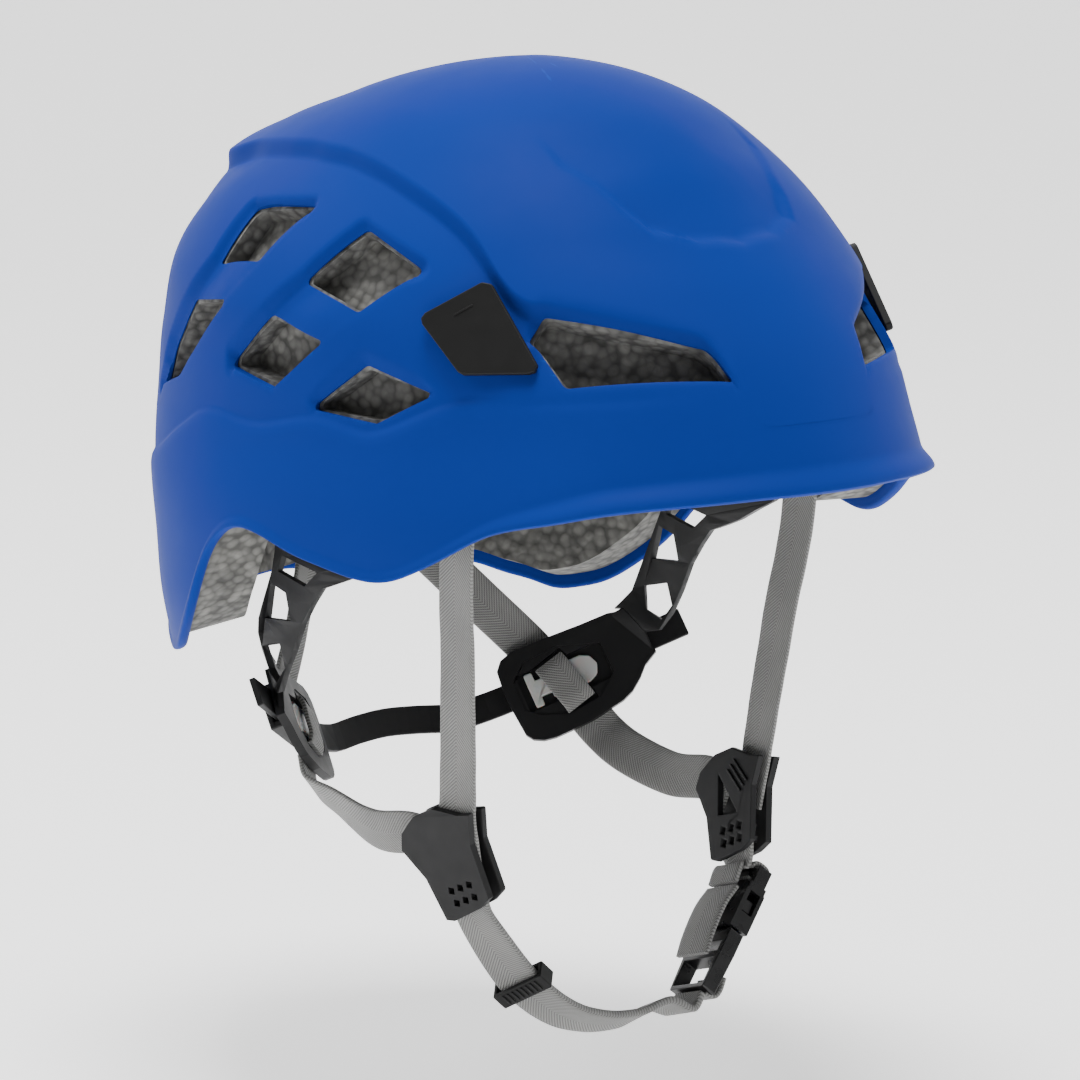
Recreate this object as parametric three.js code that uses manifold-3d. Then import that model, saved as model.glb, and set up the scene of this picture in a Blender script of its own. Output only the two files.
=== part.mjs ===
// Climbing helmet: moulded shell over a two-part foam liner, folding rear cradle with two
// side adjusters, webbing harness with dividers, side-release chin buckle and headlamp clips.
// Millimetres. +Z up, the wearer faces -Y, the wearer's left is +X. The origin is the
// middle of the head space, level with the upper edge of the ears.
import * as THREE from 'three';
import { mergeVertices } from 'three/addons/utils/BufferGeometryUtils.js';
import Module from 'manifold-3d';

const wasm = await Module();
wasm.setup();

// ---- driving dimensions -------------------------------------------------------------
const SHELL_T = 3.0;            // shell wall
const GAP = 0.35;               // clearance between touching pieces
const PAD_GAP = 1.3;            // from the liner's inner face to a pad, hook-and-loop between
const LINER_IN = 24.0;          // liner inner face below the shell's outer envelope
const POCKET = 7.0;             // depth of the foam pocket behind a vent
const LINER_SPLIT = 31.5;       // polar angle of the joint between crown and side liner
const RIM_SETBACK = 1.6;        // degrees by which the liner stops short of the shell rim
const RECESS_TOP = 3.8;         // recess of the side panels just under the crown edge
const RECESS_LOW = 1.5;         // recess of the side panels at the belt
const WEB_W = 15.0;             // webbing width
const WEB_T = 1.5;              // webbing thickness
const BAND_H = 9.7;             // nape band height
const BAND_T = 2.0;             // nape band thickness
const PLATE_T = 3.0;            // cradle plate thickness
const ARM_T = 2.2;              // cradle arm thickness
const CLIP_T = 2.6;             // headlamp clip thickness
const BUCKLE_W = 21.0;          // buckle width
const CENTRE = [0, 7.943, 20];  // centre of the polar description of the shell
const SECTION_N = 1.9967;       // exponent of the shell's horizontal sections

// outer envelope: radius against polar angle, on the front, side and rear meridians
const PSI = [0, 12, 24, 36, 48, 58, 68, 78, 88, 98, 108, 120];
const R_FRONT = [139.0, 139.4, 138.0, 135.6, 134.9, 138.0, 142.2, 144.9, 148.5, 150.7, 151.1, 150.9];
const R_SIDE = [139.0, 138.5, 137.5, 134.4, 130.7, 125.3, 116.9, 112.8, 114.6, 116.5, 119.2, 123.0];
const R_REAR = [139.0, 138.1, 139.2, 145.9, 154.7, 153.9, 148.4, 141.4, 134.9, 131.1, 135.0, 141.4];
// feature lines: [azimuth from the front, polar angle], the same on both sides
const RIM = [[0, 84.7], [10.7, 84.7], [15.8, 84.9], [22.7, 85.2], [32.9, 86.1], [37, 87.0], [43.2, 88.0], [47.8, 89.2], [51, 91.3], [55.1, 93.6], [58.7, 95.5], [61.4, 96.8], [64.2, 97.5], [69.2, 97.1], [74.5, 96.0], [80.2, 95.0], [86.4, 93.1], [90.4, 92.1], [93.3, 91.8], [97, 92.5], [100.2, 94.5], [103.4, 97.3], [107.5, 102.8], [112, 107.7], [119.6, 113.1], [124.4, 115.4], [129.1, 115.9], [133, 116.5], [135.4, 114.8], [142.2, 113.2], [146.4, 111.2], [168, 110.7], [180, 109.7]];
const RIDGE = [[0, 73.4], [10.2, 73.4], [11.1, 73.2], [12.4, 68.1], [13.7, 65.2], [15.1, 63.8], [19.2, 62.4], [27.6, 60.2], [36.4, 57.8], [41.2, 56.7], [43.4, 55.5], [46.1, 52.6], [49, 48.4], [54.5, 43.6], [65.4, 38.3], [79.7, 34.1], [92.7, 32.4], [104.7, 32.3], [118.6, 33.7], [137.9, 37.9], [153.1, 45.0], [165, 46.6], [180, 47]];
const BELT = [[0, 71.6], [12.7, 70.8], [36, 70.3], [45.4, 70.2], [53, 70.2], [56.1, 71.3], [60.8, 73.1], [65.4, 74.8], [67.7, 75.3], [73.3, 74.1], [78, 73.2], [94.8, 75.5], [105.9, 74.8], [109.2, 75.1], [117.6, 78.8], [129, 84.2], [150, 88], [180, 89]];
const VENTS = {
  A: [[-85.3, 44.4, 113.4], [-85.4, 35.9, 115.2], [-86.4, 13.3, 116.8], [-88.4, 12.3, 114.4], [-98.3, 24.8, 97.7], [-94.2, 51.8, 95.5], [-93.1, 50.3, 98.8]],
  B: [[-88.0, -15.9, 111.2], [-86.7, -39.5, 100.9], [-88.5, -39.6, 98.1], [-99.0, -25.5, 85.8], [-100.4, -0.6, 93.8], [-99.7, -0.5, 95.5], [-88.6, -14.2, 111.0]],
  C: [[-94.5, 64.4, 81.7], [-101.1, 37.8, 84.7], [-101.4, 38.8, 81.9], [-96.3, 64.6, 59.0], [-95.1, 68.3, 56.2], [-83.7, 92.1, 49.4], [-87.1, 85.5, 57.8], [-89.0, 80.8, 64.8]],
  D: [[-104.2, 11.9, 82.1], [-103.4, -12.7, 76.5], [-103.5, -12.8, 75.2], [-105.9, 7.5, 59.3], [-103.9, 31.1, 63.9], [-103.8, 30.5, 66.6], [-104.3, 13.9, 81.4]],
  E: [[-100.1, -30.6, 70.0], [-93.3, -53.3, 62.9], [-93.5, -53.4, 61.6], [-100.5, -36.3, 52.1], [-105.0, -11.8, 54.5], [-104.9, -11.7, 56.6], [-100.5, -29.2, 69.7]],
  F: [[-68.9, -78.4, 87.5], [-52.7, -95.4, 83.6], [-31.9, -111.6, 77.0], [-30.0, -114.4, 73.9], [-27.3, -119.4, 66.4], [-70.5, -89.6, 65.1], [-73.1, -80.3, 77.1], [-74.4, -77.3, 79.7]],
};
const CLIP = [[-93.5, -49.3, 85.6], [-92.5, -50.1, 87.4], [-79.6, -62.5, 97.0], [-78.0, -65.1, 96.5], [-76.0, -83.8, 73.0], [-77.0, -83.6, 70.9], [-78.4, -82.0, 70.3], [-89.7, -64.8, 69.3], [-90.4, -63.1, 70.1], [-93.7, -50.1, 84.0]];

// ---- small maths --------------------------------------------------------------------
const RAD = Math.PI / 180;
const V = (x, y, z) => new THREE.Vector3(x, y, z);
const smooth = (a, b, x) => { const t = Math.min(1, Math.max(0, (x - a) / (b - a))); return t * t * (3 - 2 * t); };
function pchip(xs, ys) {
  const n = xs.length, h = [], d = [], m = new Array(n).fill(0);
  for (let i = 0; i < n - 1; i++) { h.push(xs[i + 1] - xs[i]); d.push((ys[i + 1] - ys[i]) / h[i]); }
  for (let i = 1; i < n - 1; i++) {
    if (d[i - 1] * d[i] > 0) { const a = 2 * h[i] + h[i - 1], b = h[i] + 2 * h[i - 1]; m[i] = (a + b) / (a / d[i - 1] + b / d[i]); }
  }
  const end = (h0, h1, d0, d1) => { let v = ((2 * h0 + h1) * d0 - h0 * d1) / (h0 + h1); if (v * d0 <= 0) v = 0; else if (d0 * d1 <= 0 && Math.abs(v) > 3 * Math.abs(d0)) v = 3 * d0; return v; };
  m[0] = end(h[0], h[1], d[0], d[1]);
  m[n - 1] = end(h[n - 2], h[n - 3], d[n - 2], d[n - 3]);
  return (x) => {
    if (x <= xs[0]) return ys[0];
    if (x >= xs[n - 1]) return ys[n - 1] + m[n - 1] * (x - xs[n - 1]);
    let i = 0; while (x > xs[i + 1]) i++;
    const t = (x - xs[i]) / h[i], t2 = t * t, t3 = t2 * t;
    return (2 * t3 - 3 * t2 + 1) * ys[i] + (t3 - 2 * t2 + t) * h[i] * m[i] + (3 * t2 - 2 * t3) * ys[i + 1] + (t3 - t2) * h[i] * m[i + 1];
  };
}
const lines = (table) => { const f = pchip(table.map((p) => p[0]), table.map((p) => p[1])); return (th) => f(Math.abs(th)); };
const fF = pchip(PSI, R_FRONT), fS = pchip(PSI, R_SIDE), fR = pchip(PSI, R_REAR);
const rimPsi = lines(RIM), ridgePsi = lines(RIDGE), beltPsi = lines(BELT);

// envelope point; th from the front towards +X, ps down from +Z, both in degrees
function hull(th, ps) {
  const c = Math.cos(th * RAD), s = Math.sin(th * RAD);
  const rf = c > 0 ? fF(ps) : fR(ps), rs = fS(ps);
  const R = Math.pow(Math.pow(Math.abs(s / rs), SECTION_N) + Math.pow(Math.abs(c / rf), SECTION_N), -1 / SECTION_N);
  const sp = Math.sin(ps * RAD), cp = Math.cos(ps * RAD);
  return V(CENTRE[0] + R * sp * s, CENTRE[1] - R * sp * c, CENTRE[2] + R * cp);
}
function hullNormal(th, ps) {
  const e = 0.6, q = Math.max(ps, 1.2);
  const a = hull(th, q + e).sub(hull(th, q - e)), b = hull(th + e / Math.sin(q * RAD), q).sub(hull(th - e / Math.sin(q * RAD), q));
  const n = a.cross(b).normalize();
  const out = hull(th, q).sub(V(...CENTRE));
  if (n.dot(out) < 0) n.negate();
  if (ps < 1.2) return V(n.x * ps / 1.2, n.y * ps / 1.2, n.z).normalize();
  return n;
}
const at = (th, ps, depth) => hull(th, ps).addScaledVector(hullNormal(th, ps), -depth);
function polar(p) {
  const x = p.x - CENTRE[0], y = p.y - CENTRE[1], z = p.z - CENTRE[2];
  return { th: Math.atan2(x, -y) / RAD, ps: Math.acos(z / Math.hypot(x, y, z)) / RAD, r: Math.hypot(x, y, z) };
}
// depth of the shell's outer face below the envelope
function recess(th, ps) {
  const a = Math.abs(th), r0 = ridgePsi(a), b0 = beltPsi(a), side = smooth(10.8, 12.6, a);
  if (ps <= r0 || side === 0) return 0;
  if (ps >= b0 + 1.2) return 0;
  const down = smooth(r0, r0 + 2.8, ps);
  const t = Math.min(1, Math.max(0, (ps - r0 - 2.8) / Math.max(6, b0 - r0 - 2.8)));
  const d = RECESS_TOP + (RECESS_LOW - RECESS_TOP) * smooth(0, 1, t);
  const up = 1 - smooth(b0 - 0.3, b0 + 1.2, ps);
  const fade = 1 - 0.7 * smooth(150, 176, a);
  return side * down * up * d * fade;
}
const flare = (th, ps) => { const q = rimPsi(th) - ps, front = 1 - smooth(30, 52, Math.abs(th)); return -(0.9 + 2.0 * front) * (1 - smooth(0, 1.6 + 1.6 * front, q)); };
const shellDepth = (th, ps) => recess(th, ps) + flare(th, ps);
function linerX(y, z, depth = LINER_IN) {       // |x| of the liner's inner face at (y, z)
  let lo = 20, hi = 125;
  for (let i = 0; i < 40; i++) {
    const x = (lo + hi) / 2, q = polar(V(x, y, z)), s = at(q.th, q.ps, depth);
    const rs = Math.hypot(s.x - CENTRE[0], s.y - CENTRE[1], s.z - CENTRE[2]);
    if (q.r < rs) lo = x; else hi = x;
  }
  return lo;
}

// ---- mesh helpers -------------------------------------------------------------------
function build(verts, tris) {
  const g = new THREE.BufferGeometry();
  g.setAttribute('position', new THREE.Float32BufferAttribute(verts.flatMap((v) => [v.x, v.y, v.z]), 3));
  g.setIndex(tris.flat());
  return g;
}
function toSolid(geometry) {
  let g = geometry.clone();
  for (const k of Object.keys(g.attributes)) if (k !== 'position') g.deleteAttribute(k);
  g = mergeVertices(g, 1e-4);
  const idx = g.index.array, keep = [];
  for (let i = 0; i < idx.length; i += 3) if (idx[i] !== idx[i + 1] && idx[i + 1] !== idx[i + 2] && idx[i] !== idx[i + 2]) keep.push(idx[i], idx[i + 1], idx[i + 2]);
  return new wasm.Manifold(new wasm.Mesh({ numProp: 3, vertProperties: new Float32Array(g.attributes.position.array), triVerts: new Uint32Array(keep) }));
}
function fromSolid(m) {
  const mesh = m.getMesh(), g = new THREE.BufferGeometry(), pos = [];
  for (let i = 0; i < mesh.numVert; i++) pos.push(mesh.vertProperties[i * mesh.numProp], mesh.vertProperties[i * mesh.numProp + 1], mesh.vertProperties[i * mesh.numProp + 2]);
  g.setAttribute('position', new THREE.Float32BufferAttribute(pos, 3));
  g.setIndex(Array.from(mesh.triVerts));
  return g;
}
const cut = (a, ...bs) => fromSolid(bs.reduce((m, b) => m.subtract(toSolid(b)), toSolid(a)));
const join = (a, ...bs) => fromSolid(bs.reduce((m, b) => m.add(toSolid(b)), toSolid(a)));
function mirror(geometry) {                      // to the other side of the YZ plane
  const g = geometry.clone();
  for (const k of Object.keys(g.attributes)) if (k !== 'position') g.deleteAttribute(k);
  const p = g.attributes.position;
  for (let i = 0; i < p.count; i++) p.setX(i, -p.getX(i));
  if (!g.index) g.setIndex([...Array(p.count).keys()]);
  const ix = g.index.array;
  for (let i = 0; i < ix.length; i += 3) { const t = ix[i + 1]; ix[i + 1] = ix[i + 2]; ix[i + 2] = t; }
  return g;
}
const placed = (g, o, ex, ey, ez) => g.clone().applyMatrix4(new THREE.Matrix4().makeBasis(ex, ey, ez).setPosition(o));
const shape = (pts, holes = []) => { const s = new THREE.Shape(pts.map((p) => new THREE.Vector2(p[0], p[1]))); for (const h of holes) s.holes.push(new THREE.Path(h.map((p) => new THREE.Vector2(p[0], p[1])))); return s; };
const slab = (pts, t0, t1, holes = []) => new THREE.ExtrudeGeometry(shape(pts, holes), { depth: t1 - t0, bevelEnabled: false }).translate(0, 0, t0);
const rod = (r, t0, t1, n = 12) => new THREE.CylinderGeometry(r, r, t1 - t0, n).rotateX(Math.PI / 2).translate(0, 0, (t0 + t1) / 2);
const rect = (x0, x1, y0, y1) => [[x0, y0], [x1, y0], [x1, y1], [x0, y1]];
const circle = (cx, cy, r, n = 10) => [...Array(n).keys()].map((i) => [cx + r * Math.cos(2 * Math.PI * i / n), cy + r * Math.sin(2 * Math.PI * i / n)]);

// a flat strap swept along points; each point is [x, y, z, wx, wy, wz] with the width direction
function ribbon(rows, width, thick, steps, shift = 0) {
  const curve = new THREE.CatmullRomCurve3(rows.map((r) => V(r[0], r[1], r[2])), false, 'centripetal');
  const verts = [], tris = [], n = steps;
  for (let i = 0; i <= n; i++) {
    const u = i / n, p = curve.getPoint(u), t = curve.getTangent(u), k = Math.min(rows.length - 2, Math.floor(u * (rows.length - 1))), f = u * (rows.length - 1) - k;
    const w = V(rows[k][3], rows[k][4], rows[k][5]).normalize().lerp(V(rows[k + 1][3], rows[k + 1][4], rows[k + 1][5]).normalize(), f);
    w.addScaledVector(t, -w.dot(t)).normalize();
    const nn = V().crossVectors(t, w).normalize();
    p.addScaledVector(nn, shift);
    for (const [a, b] of [[-1, -1], [1, -1], [1, 1], [-1, 1]]) verts.push(p.clone().addScaledVector(w, a * width / 2).addScaledVector(nn, b * thick / 2));
  }
  for (let i = 0; i < n; i++) for (let j = 0; j < 4; j++) {
    const a = i * 4 + j, b = i * 4 + (j + 1) % 4, c = a + 4, d = b + 4;
    tris.push([a, b, d], [a, d, c]);
  }
  tris.push([0, 3, 2], [0, 2, 1]);
  const e = n * 4; tris.push([e, e + 1, e + 2], [e, e + 2, e + 3]);
  return build(verts, tris);
}
// a closed wall between two depths over a grid of azimuths and polar angles
function wall(ths, rowsOf, outer, inner, closed) {
  const verts = [], tris = [], nc = ths.length;
  const rowList = ths.map((t) => rowsOf(t)), nr = rowList[0].length;
  const apex = rowList[0][0] === 0;
  const layer = (depth) => {
    const ids = [];
    for (let i = 0; i < nc; i++) {
      ids.push([]);
      for (let j = 0; j < nr; j++) {
        if (apex && j === 0) { if (i === 0) { verts.push(at(ths[i], 0, depth(ths[i], 0))); } ids[i].push(i === 0 ? verts.length - 1 : ids[0][0]); continue; }
        verts.push(at(ths[i], rowList[i][j], depth(ths[i], rowList[i][j]))); ids[i].push(verts.length - 1);
      }
    }
    return ids;
  };
  const O = layer(outer), I = layer(inner);
  const quad = (a, b, c, d) => { if (a !== b && b !== c && a !== c) tris.push([a, b, c]); if (a !== c && c !== d && a !== d) tris.push([a, c, d]); };
  const m = closed ? nc : nc - 1;
  for (let i = 0; i < m; i++) {
    const k = (i + 1) % nc;
    for (let j = 0; j < nr - 1; j++) { quad(O[i][j], O[i][j + 1], O[k][j + 1], O[k][j]); quad(I[i][j], I[k][j], I[k][j + 1], I[i][j + 1]); }
    quad(O[i][nr - 1], I[i][nr - 1], I[k][nr - 1], O[k][nr - 1]);
    if (!apex) quad(O[k][0], I[k][0], I[i][0], O[i][0]);
  }
  if (!closed) for (let j = 0; j < nr - 1; j++) { quad(O[0][j], I[0][j], I[0][j + 1], O[0][j + 1]); quad(O[nc - 1][j], O[nc - 1][j + 1], I[nc - 1][j + 1], I[nc - 1][j]); }
  return build(verts, tris);
}
// a prism on a 3D outline, running from depth d0 to depth d1 along the outline's mean normal
function prism(poly, d0, d1, grow = 0) {
  const c = poly.reduce((s, p) => s.add(V(...p)), V(0, 0, 0)).multiplyScalar(1 / poly.length);
  const q = polar(c), n = hullNormal(q.th, q.ps), n0 = poly.length;
  const ps = poly.map((p) => V(...p)).map((p) => { const r = p.clone().sub(c); r.addScaledVector(n, -r.dot(n)); const l = r.length(); return p.addScaledVector(r, grow / l); });
  const top = ps.map((p) => p.clone().addScaledVector(n, -d0)), bot = ps.map((p) => p.clone().addScaledVector(n, -d1));
  const e1 = ps[1].clone().sub(ps[0]).normalize(), e2 = V().crossVectors(n, e1).normalize();
  const flat = ps.map((p) => new THREE.Vector2(p.clone().sub(c).dot(e1), p.clone().sub(c).dot(e2)));
  const area = THREE.ShapeUtils.area(flat), faces = THREE.ShapeUtils.triangulateShape(flat, []);
  const tris = [];
  for (const f of faces) {
    const ccw = (flat[f[1]].x - flat[f[0]].x) * (flat[f[2]].y - flat[f[0]].y) - (flat[f[1]].y - flat[f[0]].y) * (flat[f[2]].x - flat[f[0]].x) > 0;
    const [a, b, d] = ccw ? f : [f[0], f[2], f[1]];
    tris.push([a, b, d], [a + n0, d + n0, b + n0]);
  }
  for (let i = 0; i < n0; i++) { const j = (i + 1) % n0; if (area > 0) tris.push([i, i + n0, j + n0], [i, j + n0, j]); else tris.push([i, j, j + n0], [i, j + n0, i + n0]); }
  return build([...top, ...bot], tris);
}

// ---- materials and the group --------------------------------------------------------
const mat = (color, roughness, metalness = 0) => new THREE.MeshStandardMaterial({ color, roughness, metalness });
const BLUE = mat(0x1355ab, 0.45), EPP = mat(0x6e6e6a, 0.9), EPS = mat(0x8c8c88, 0.9), BLACK = mat(0x2b2b2c, 0.5), WEB = mat(0x9a9a98, 0.85), WHITE = mat(0xe6e6e4, 0.35), PAD = mat(0x3a3b3d, 0.95);
const group = new THREE.Group();
function add(name, geometry, material) { const m = new THREE.Mesh(geometry, material); m.name = name; group.add(m); return m; }
function pair(name, geometry, material) { add(name + '_left', geometry, material); add(name + '_right', mirror(geometry), material); }
const flip = (poly) => poly.map(([x, y, z]) => [-x, y, z]).reverse();

// ---- shell --------------------------------------------------------------------------
const half = [0, 6, 10.2, 11.5, 12.9, 15, 20, 27, 34, 40, 44.5, 49, 54, 59, 64.2, 70, 77, 84, 91, 97, 102, 107, 112.5, 119, 126, 133, 140, 149, 160, 170];
const COLS = [...half, 180, ...half.slice(1).reverse().map((t) => 360 - t)].map((t) => (t > 180 ? t - 360 : t));
function shellRows(t) {
  const r = ridgePsi(t), b = Math.max(beltPsi(t), r + 4), m = rimPsi(t), k = (b - r - 2.8);
  const s = LINER_SPLIT, q = (f) => s + (r - s) * f;
  return [0, s / 3, s * 2 / 3, s, q(0.25), q(0.5), q(0.75), r, r + 2.8, r + 2.8 + k * 0.5, b - 0.3, b + 1.2, b + (m - b) * 0.45, m - 3.2, m];
}
let shell = wall(COLS, shellRows, shellDepth, (t, p) => recess(t, p) + SHELL_T + 0.35 * flare(t, p), true);
const ventTools = [], pocketTools = [];
for (const poly of Object.values(VENTS)) for (const v of [poly, flip(poly)]) { ventTools.push(prism(v, -14, 12)); pocketTools.push(prism(v, -14, SHELL_T + POCKET)); }

// headlamp clip: plate over a pad recess, with a foot through a slot in the shell
const clipC = CLIP.reduce((s, p) => s.add(V(...p)), V(0, 0, 0)).multiplyScalar(1 / CLIP.length);
const clipN = V(-0.786, -0.52, 0.333).normalize();
const clipX = V(0, 0, 1).addScaledVector(clipN, -clipN.z).normalize(), clipY = V().crossVectors(clipN, clipX);
const clip2 = CLIP.map((p) => { const r = V(...p).sub(clipC); return [r.dot(clipX), r.dot(clipY)]; });
const ccw2 = (pts) => (THREE.ShapeUtils.area(pts.map((p) => new THREE.Vector2(p[0], p[1]))) < 0 ? [...pts].reverse() : pts);
const footAt = V(-85.4, -60, 87.5).sub(clipC), topEdge = V(0.622, -0.609, 0.489);
const footTurn = Math.atan2(topEdge.dot(clipY), topEdge.dot(clipX));
const fx = footAt.dot(clipX), fy = footAt.dot(clipY);
const CLIP_LIFT = -0.5;
const clipPlate = slab(ccw2(clip2), CLIP_LIFT, CLIP_LIFT + CLIP_T);
const clipFoot = new THREE.BoxGeometry(10, 4, 6.2).rotateZ(footTurn).translate(fx, fy, CLIP_LIFT - 2.8);
const clipRight = placed(join(clipPlate, clipFoot), clipC, clipX, clipY, clipN);
const clipSlot = placed(new THREE.BoxGeometry(11.2, 5.2, 16).rotateZ(footTurn).translate(fx, fy, -4), clipC, clipX, clipY, clipN);
const clipSlots = [clipSlot, mirror(clipSlot)];
shell = cut(shell, ...ventTools, ...clipSlots);
add('shell', shell, BLUE);

// ---- foam liner ---------------------------------------------------------------------
const linerOut = (t, p) => recess(t, p) + SHELL_T + GAP;
add('crown_liner', wall(COLS, () => [0, LINER_SPLIT / 3, LINER_SPLIT * 2 / 3, LINER_SPLIT], linerOut, () => LINER_IN, true), EPS);
function linerRows(t) {
  const rows = shellRows(t), m = rimPsi(t);
  return [LINER_SPLIT + 0.25, ...rows.slice(4, 14), m - RIM_SETBACK];
}
// the pockets are cut a little wider than the vents, so the foam shows a lip
let sideLiner = wall(COLS, linerRows, linerOut, () => LINER_IN, true);
sideLiner = cut(sideLiner, ...pocketTools, ...clipSlots.map((g) => g));
add('side_liner', sideLiner, EPP);
const span = (a, b, n) => [...Array(n + 1).keys()].map((i) => a + (b - a) * i / n);
add('brow_pad', wall(span(-44, 44, 12), (t) => [64, 70, 76, 80.5], () => LINER_IN + PAD_GAP, () => LINER_IN + PAD_GAP + 5.5, false), PAD);
add('crown_pad', wall(span(-165, 180, 23), () => [0, 7, 14], () => LINER_IN + PAD_GAP, () => LINER_IN + PAD_GAP + 5, true), PAD);
add('headlamp_clip_front_right', clipRight, BLACK);
add('headlamp_clip_front_left', mirror(clipRight), BLACK);

// ---- cradle: side adjuster plate, wearer's left -------------------------------------
const PC = V(61.5, 48.4, -59);
const pN = V(0.64407603, 0.66696025, -0.37460659), pT = V(0.7193398, -0.69465837, 0), pU = V(0.26022361, 0.26946943, 0.92718385);
// local axes: a towards the front, b up, t out from the head; pT x pU points out from the head
const plateAt = (g) => placed(g, PC, pT, pU, V().crossVectors(pT, pU));
const outward = V().crossVectors(pT, pU).dot(pN) > 0 ? 1 : -1;
const PLATE = [[-28.2, 0], [-27.1, 3.8], [-23.5, 7], [-11.4, 12.2], [0.1, 16.8], [9.5, 20.9], [14.4, 21.8], [26.6, 7.9], [22.9, 3], [21.3, -1.3], [18.7, -6.1], [15.6, -9.4], [5.2, -16.4], [-2.1, -20.1], [-7.4, -22.6], [-11.5, -23.7], [-15.2, -23.5], [-17.8, -21.9], [-23.3, -12.2], [-26, -6.4]];
const WINDOW = [[-19.2, 3.4], [-7.8, 9.3], [7.0, 10.6], [12.2, 0.8], [7.7, -8.3], [-2.7, -14.3], [-13.2, -14.8], [-18.2, -13.3], [-22.6, -3.6]];
const T = (t0, t1) => (outward > 0 ? [t0, t1] : [-t1, -t0]);
const slabP = (pts, t0, t1, holes) => slab(pts, ...T(t0, t1), holes);
pair('cradle_plate', plateAt(slabP(ccw2(PLATE), 0, PLATE_T, [WINDOW])), BLACK);
// size pawl: T-shaped tail, neck and rounded head, sliding along the plate's long axis
const e1 = [0.909, 0.416], e2 = [-0.416, 0.909];
const lp = (p, q) => [p * e1[0] + q * e2[0] - 5.2, p * e1[1] + q * e2[1] - 1.6];
const PAWL = [[-12.6, -6.2], [-9.6, -6.2], [-9.6, -3], [-5.5, -3], [-5.5, -5], [8, -5], [11.2, -3.4], [12.6, 0], [11.2, 3.4], [8, 5], [-5.5, 5], [-5.5, 3], [-9.6, 3], [-9.6, 6.2], [-12.6, 6.2]].map((p) => lp(p[0], p[1]));
pair('size_pawl', plateAt(slabP(ccw2(PAWL), 0.7, 2.5)), WHITE);
// ratchet case: cover over the toothed band, with two side walls
const bl = (p, q) => [p * e1[0] + q * e2[0], 2.7 + p * e1[1] + q * e2[1]];
const strip = (p0, p1, q0, q1) => [bl(p0, q0), bl(p1, q0), bl(p1, q1), bl(p0, q1)];
const b0 = PLATE_T + GAP, bandMid = b0 + BAND_T / 2 + 0.1;
const lid = slabP(strip(-20, 18, -7.6, 7.6), bandMid + BAND_T / 2 + 0.35, bandMid + BAND_T / 2 + 2.4);
const wallA = slabP(strip(-20, 18, 5.25, 7.6), b0, bandMid + BAND_T / 2 + 1), wallB = slabP(strip(-20, 18, -7.6, -5.25), b0, bandMid + BAND_T / 2 + 1);
pair('ratchet_case', plateAt(join(lid, wallA, wallB)), BLACK);

// nape band from one adjuster to the other, its toothed tails standing out in front
const P3 = (a, b, t) => PC.clone().addScaledVector(pT, a).addScaledVector(pU, b).addScaledVector(pN, t);
const wBand = V(0, 0, 0).addScaledVector(pT, e2[0]).addScaledVector(pU, e2[1]);
const bandRow = (p) => { const q = bl(p, 0), r = P3(q[0], q[1], bandMid); return [r.x, r.y, r.z, wBand.x, wBand.y, wBand.z]; };
const tail = [39.4, 28, 16, 4, -8, -20, -29].map(bandRow);
const rearBand = [[27, 74.4, -74.0, 0, 0.42, 0.9], [14, 78.0, -73.6, 0, 0.36, 0.93], [0, 79.2, -73.0, 0, 0.34, 0.94]];
const leftBand = [...tail, ...rearBand];
const rightBand = [...leftBand].reverse().slice(1).map((r) => [-r[0], r[1], r[2], -r[3], r[4], r[5]]);
add('nape_band', ribbon([...leftBand, ...rightBand], BAND_H, BAND_T, 54), BLACK);

// lattice arm up to the shell, behind the ear
const kk = 3.0, armTop = (y) => 86 - 4.0 * smooth(8, -26, y);
const plateX = (y, z) => PC.x + ((PC.z - z) * pN.z - (y - PC.y) * pN.y) / pN.x;
const armX = (y, z) => -kk * Math.log(Math.exp(-armTop(y) / kk) + Math.exp(-plateX(y, z) / kk));
const ARM = [[46.5, -39], [43.2, -32.2], [41.6, -26], [40.3, -21], [36.5, -12.6], [32.8, -4], [31.4, 2], [31.2, 8], [29, 11.4], [25, 12.6], [21, 11.4], [19, 8], [18.8, 4.4], [12, 3.4], [3, 4.8], [-8, 8.8], [-18, 14.6], [-21, 17.4], [-24.8, 18.6], [-28.6, 17.4], [-30.4, 14], [-29.8, 10], [-26.6, 7.4], [-18, 3.4], [-8, -1.4], [0, -4.4], [8, -7.2], [12.6, -12.6], [17.8, -19.8], [22.4, -29.5], [27.6, -38.6], [31.8, -44.6], [36, -45.5], [43, -43.5]];
const CELL1 = [[39.6, -30.2], [29.2, -28.0], [26.6, -35.5], [31.5, -41.2], [37.5, -38.0]];
const CELL2 = [[33.4, -8.5], [26.0, -10.8], [23.6, -19.8], [36.6, -20.5]];
const CELL3 = [[27.6, 1.2], [10, -2.2], [16.5, -7.5], [29.8, -4.2]];
function bent(pts, holes, thick, step) {
  const refine = (loop) => loop.flatMap((p, i) => { const q = loop[(i + 1) % loop.length], n = Math.max(1, Math.round(Math.hypot(q[0] - p[0], q[1] - p[1]) / step)); return [...Array(n).keys()].map((k) => [p[0] + (q[0] - p[0]) * k / n, p[1] + (q[1] - p[1]) * k / n]); });
  const o = refine(ccw2(pts)), hs = holes.map(refine);
  const g = new THREE.ExtrudeGeometry(shape(o, hs), { depth: 1, bevelEnabled: false });
  const p = g.attributes.position;
  for (let i = 0; i < p.count; i++) {
    const y = p.getX(i), z = p.getY(i), s = p.getZ(i) - 0.5, e = 0.5;
    const n = V(1, -(armX(y + e, z) - armX(y - e, z)) / (2 * e), -(armX(y, z + e) - armX(y, z - e)) / (2 * e)).normalize();
    const q = V(armX(y, z), y, z).addScaledVector(n, s * thick);
    p.setXYZ(i, q.x, q.y, q.z);
  }
  return g;
}
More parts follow.
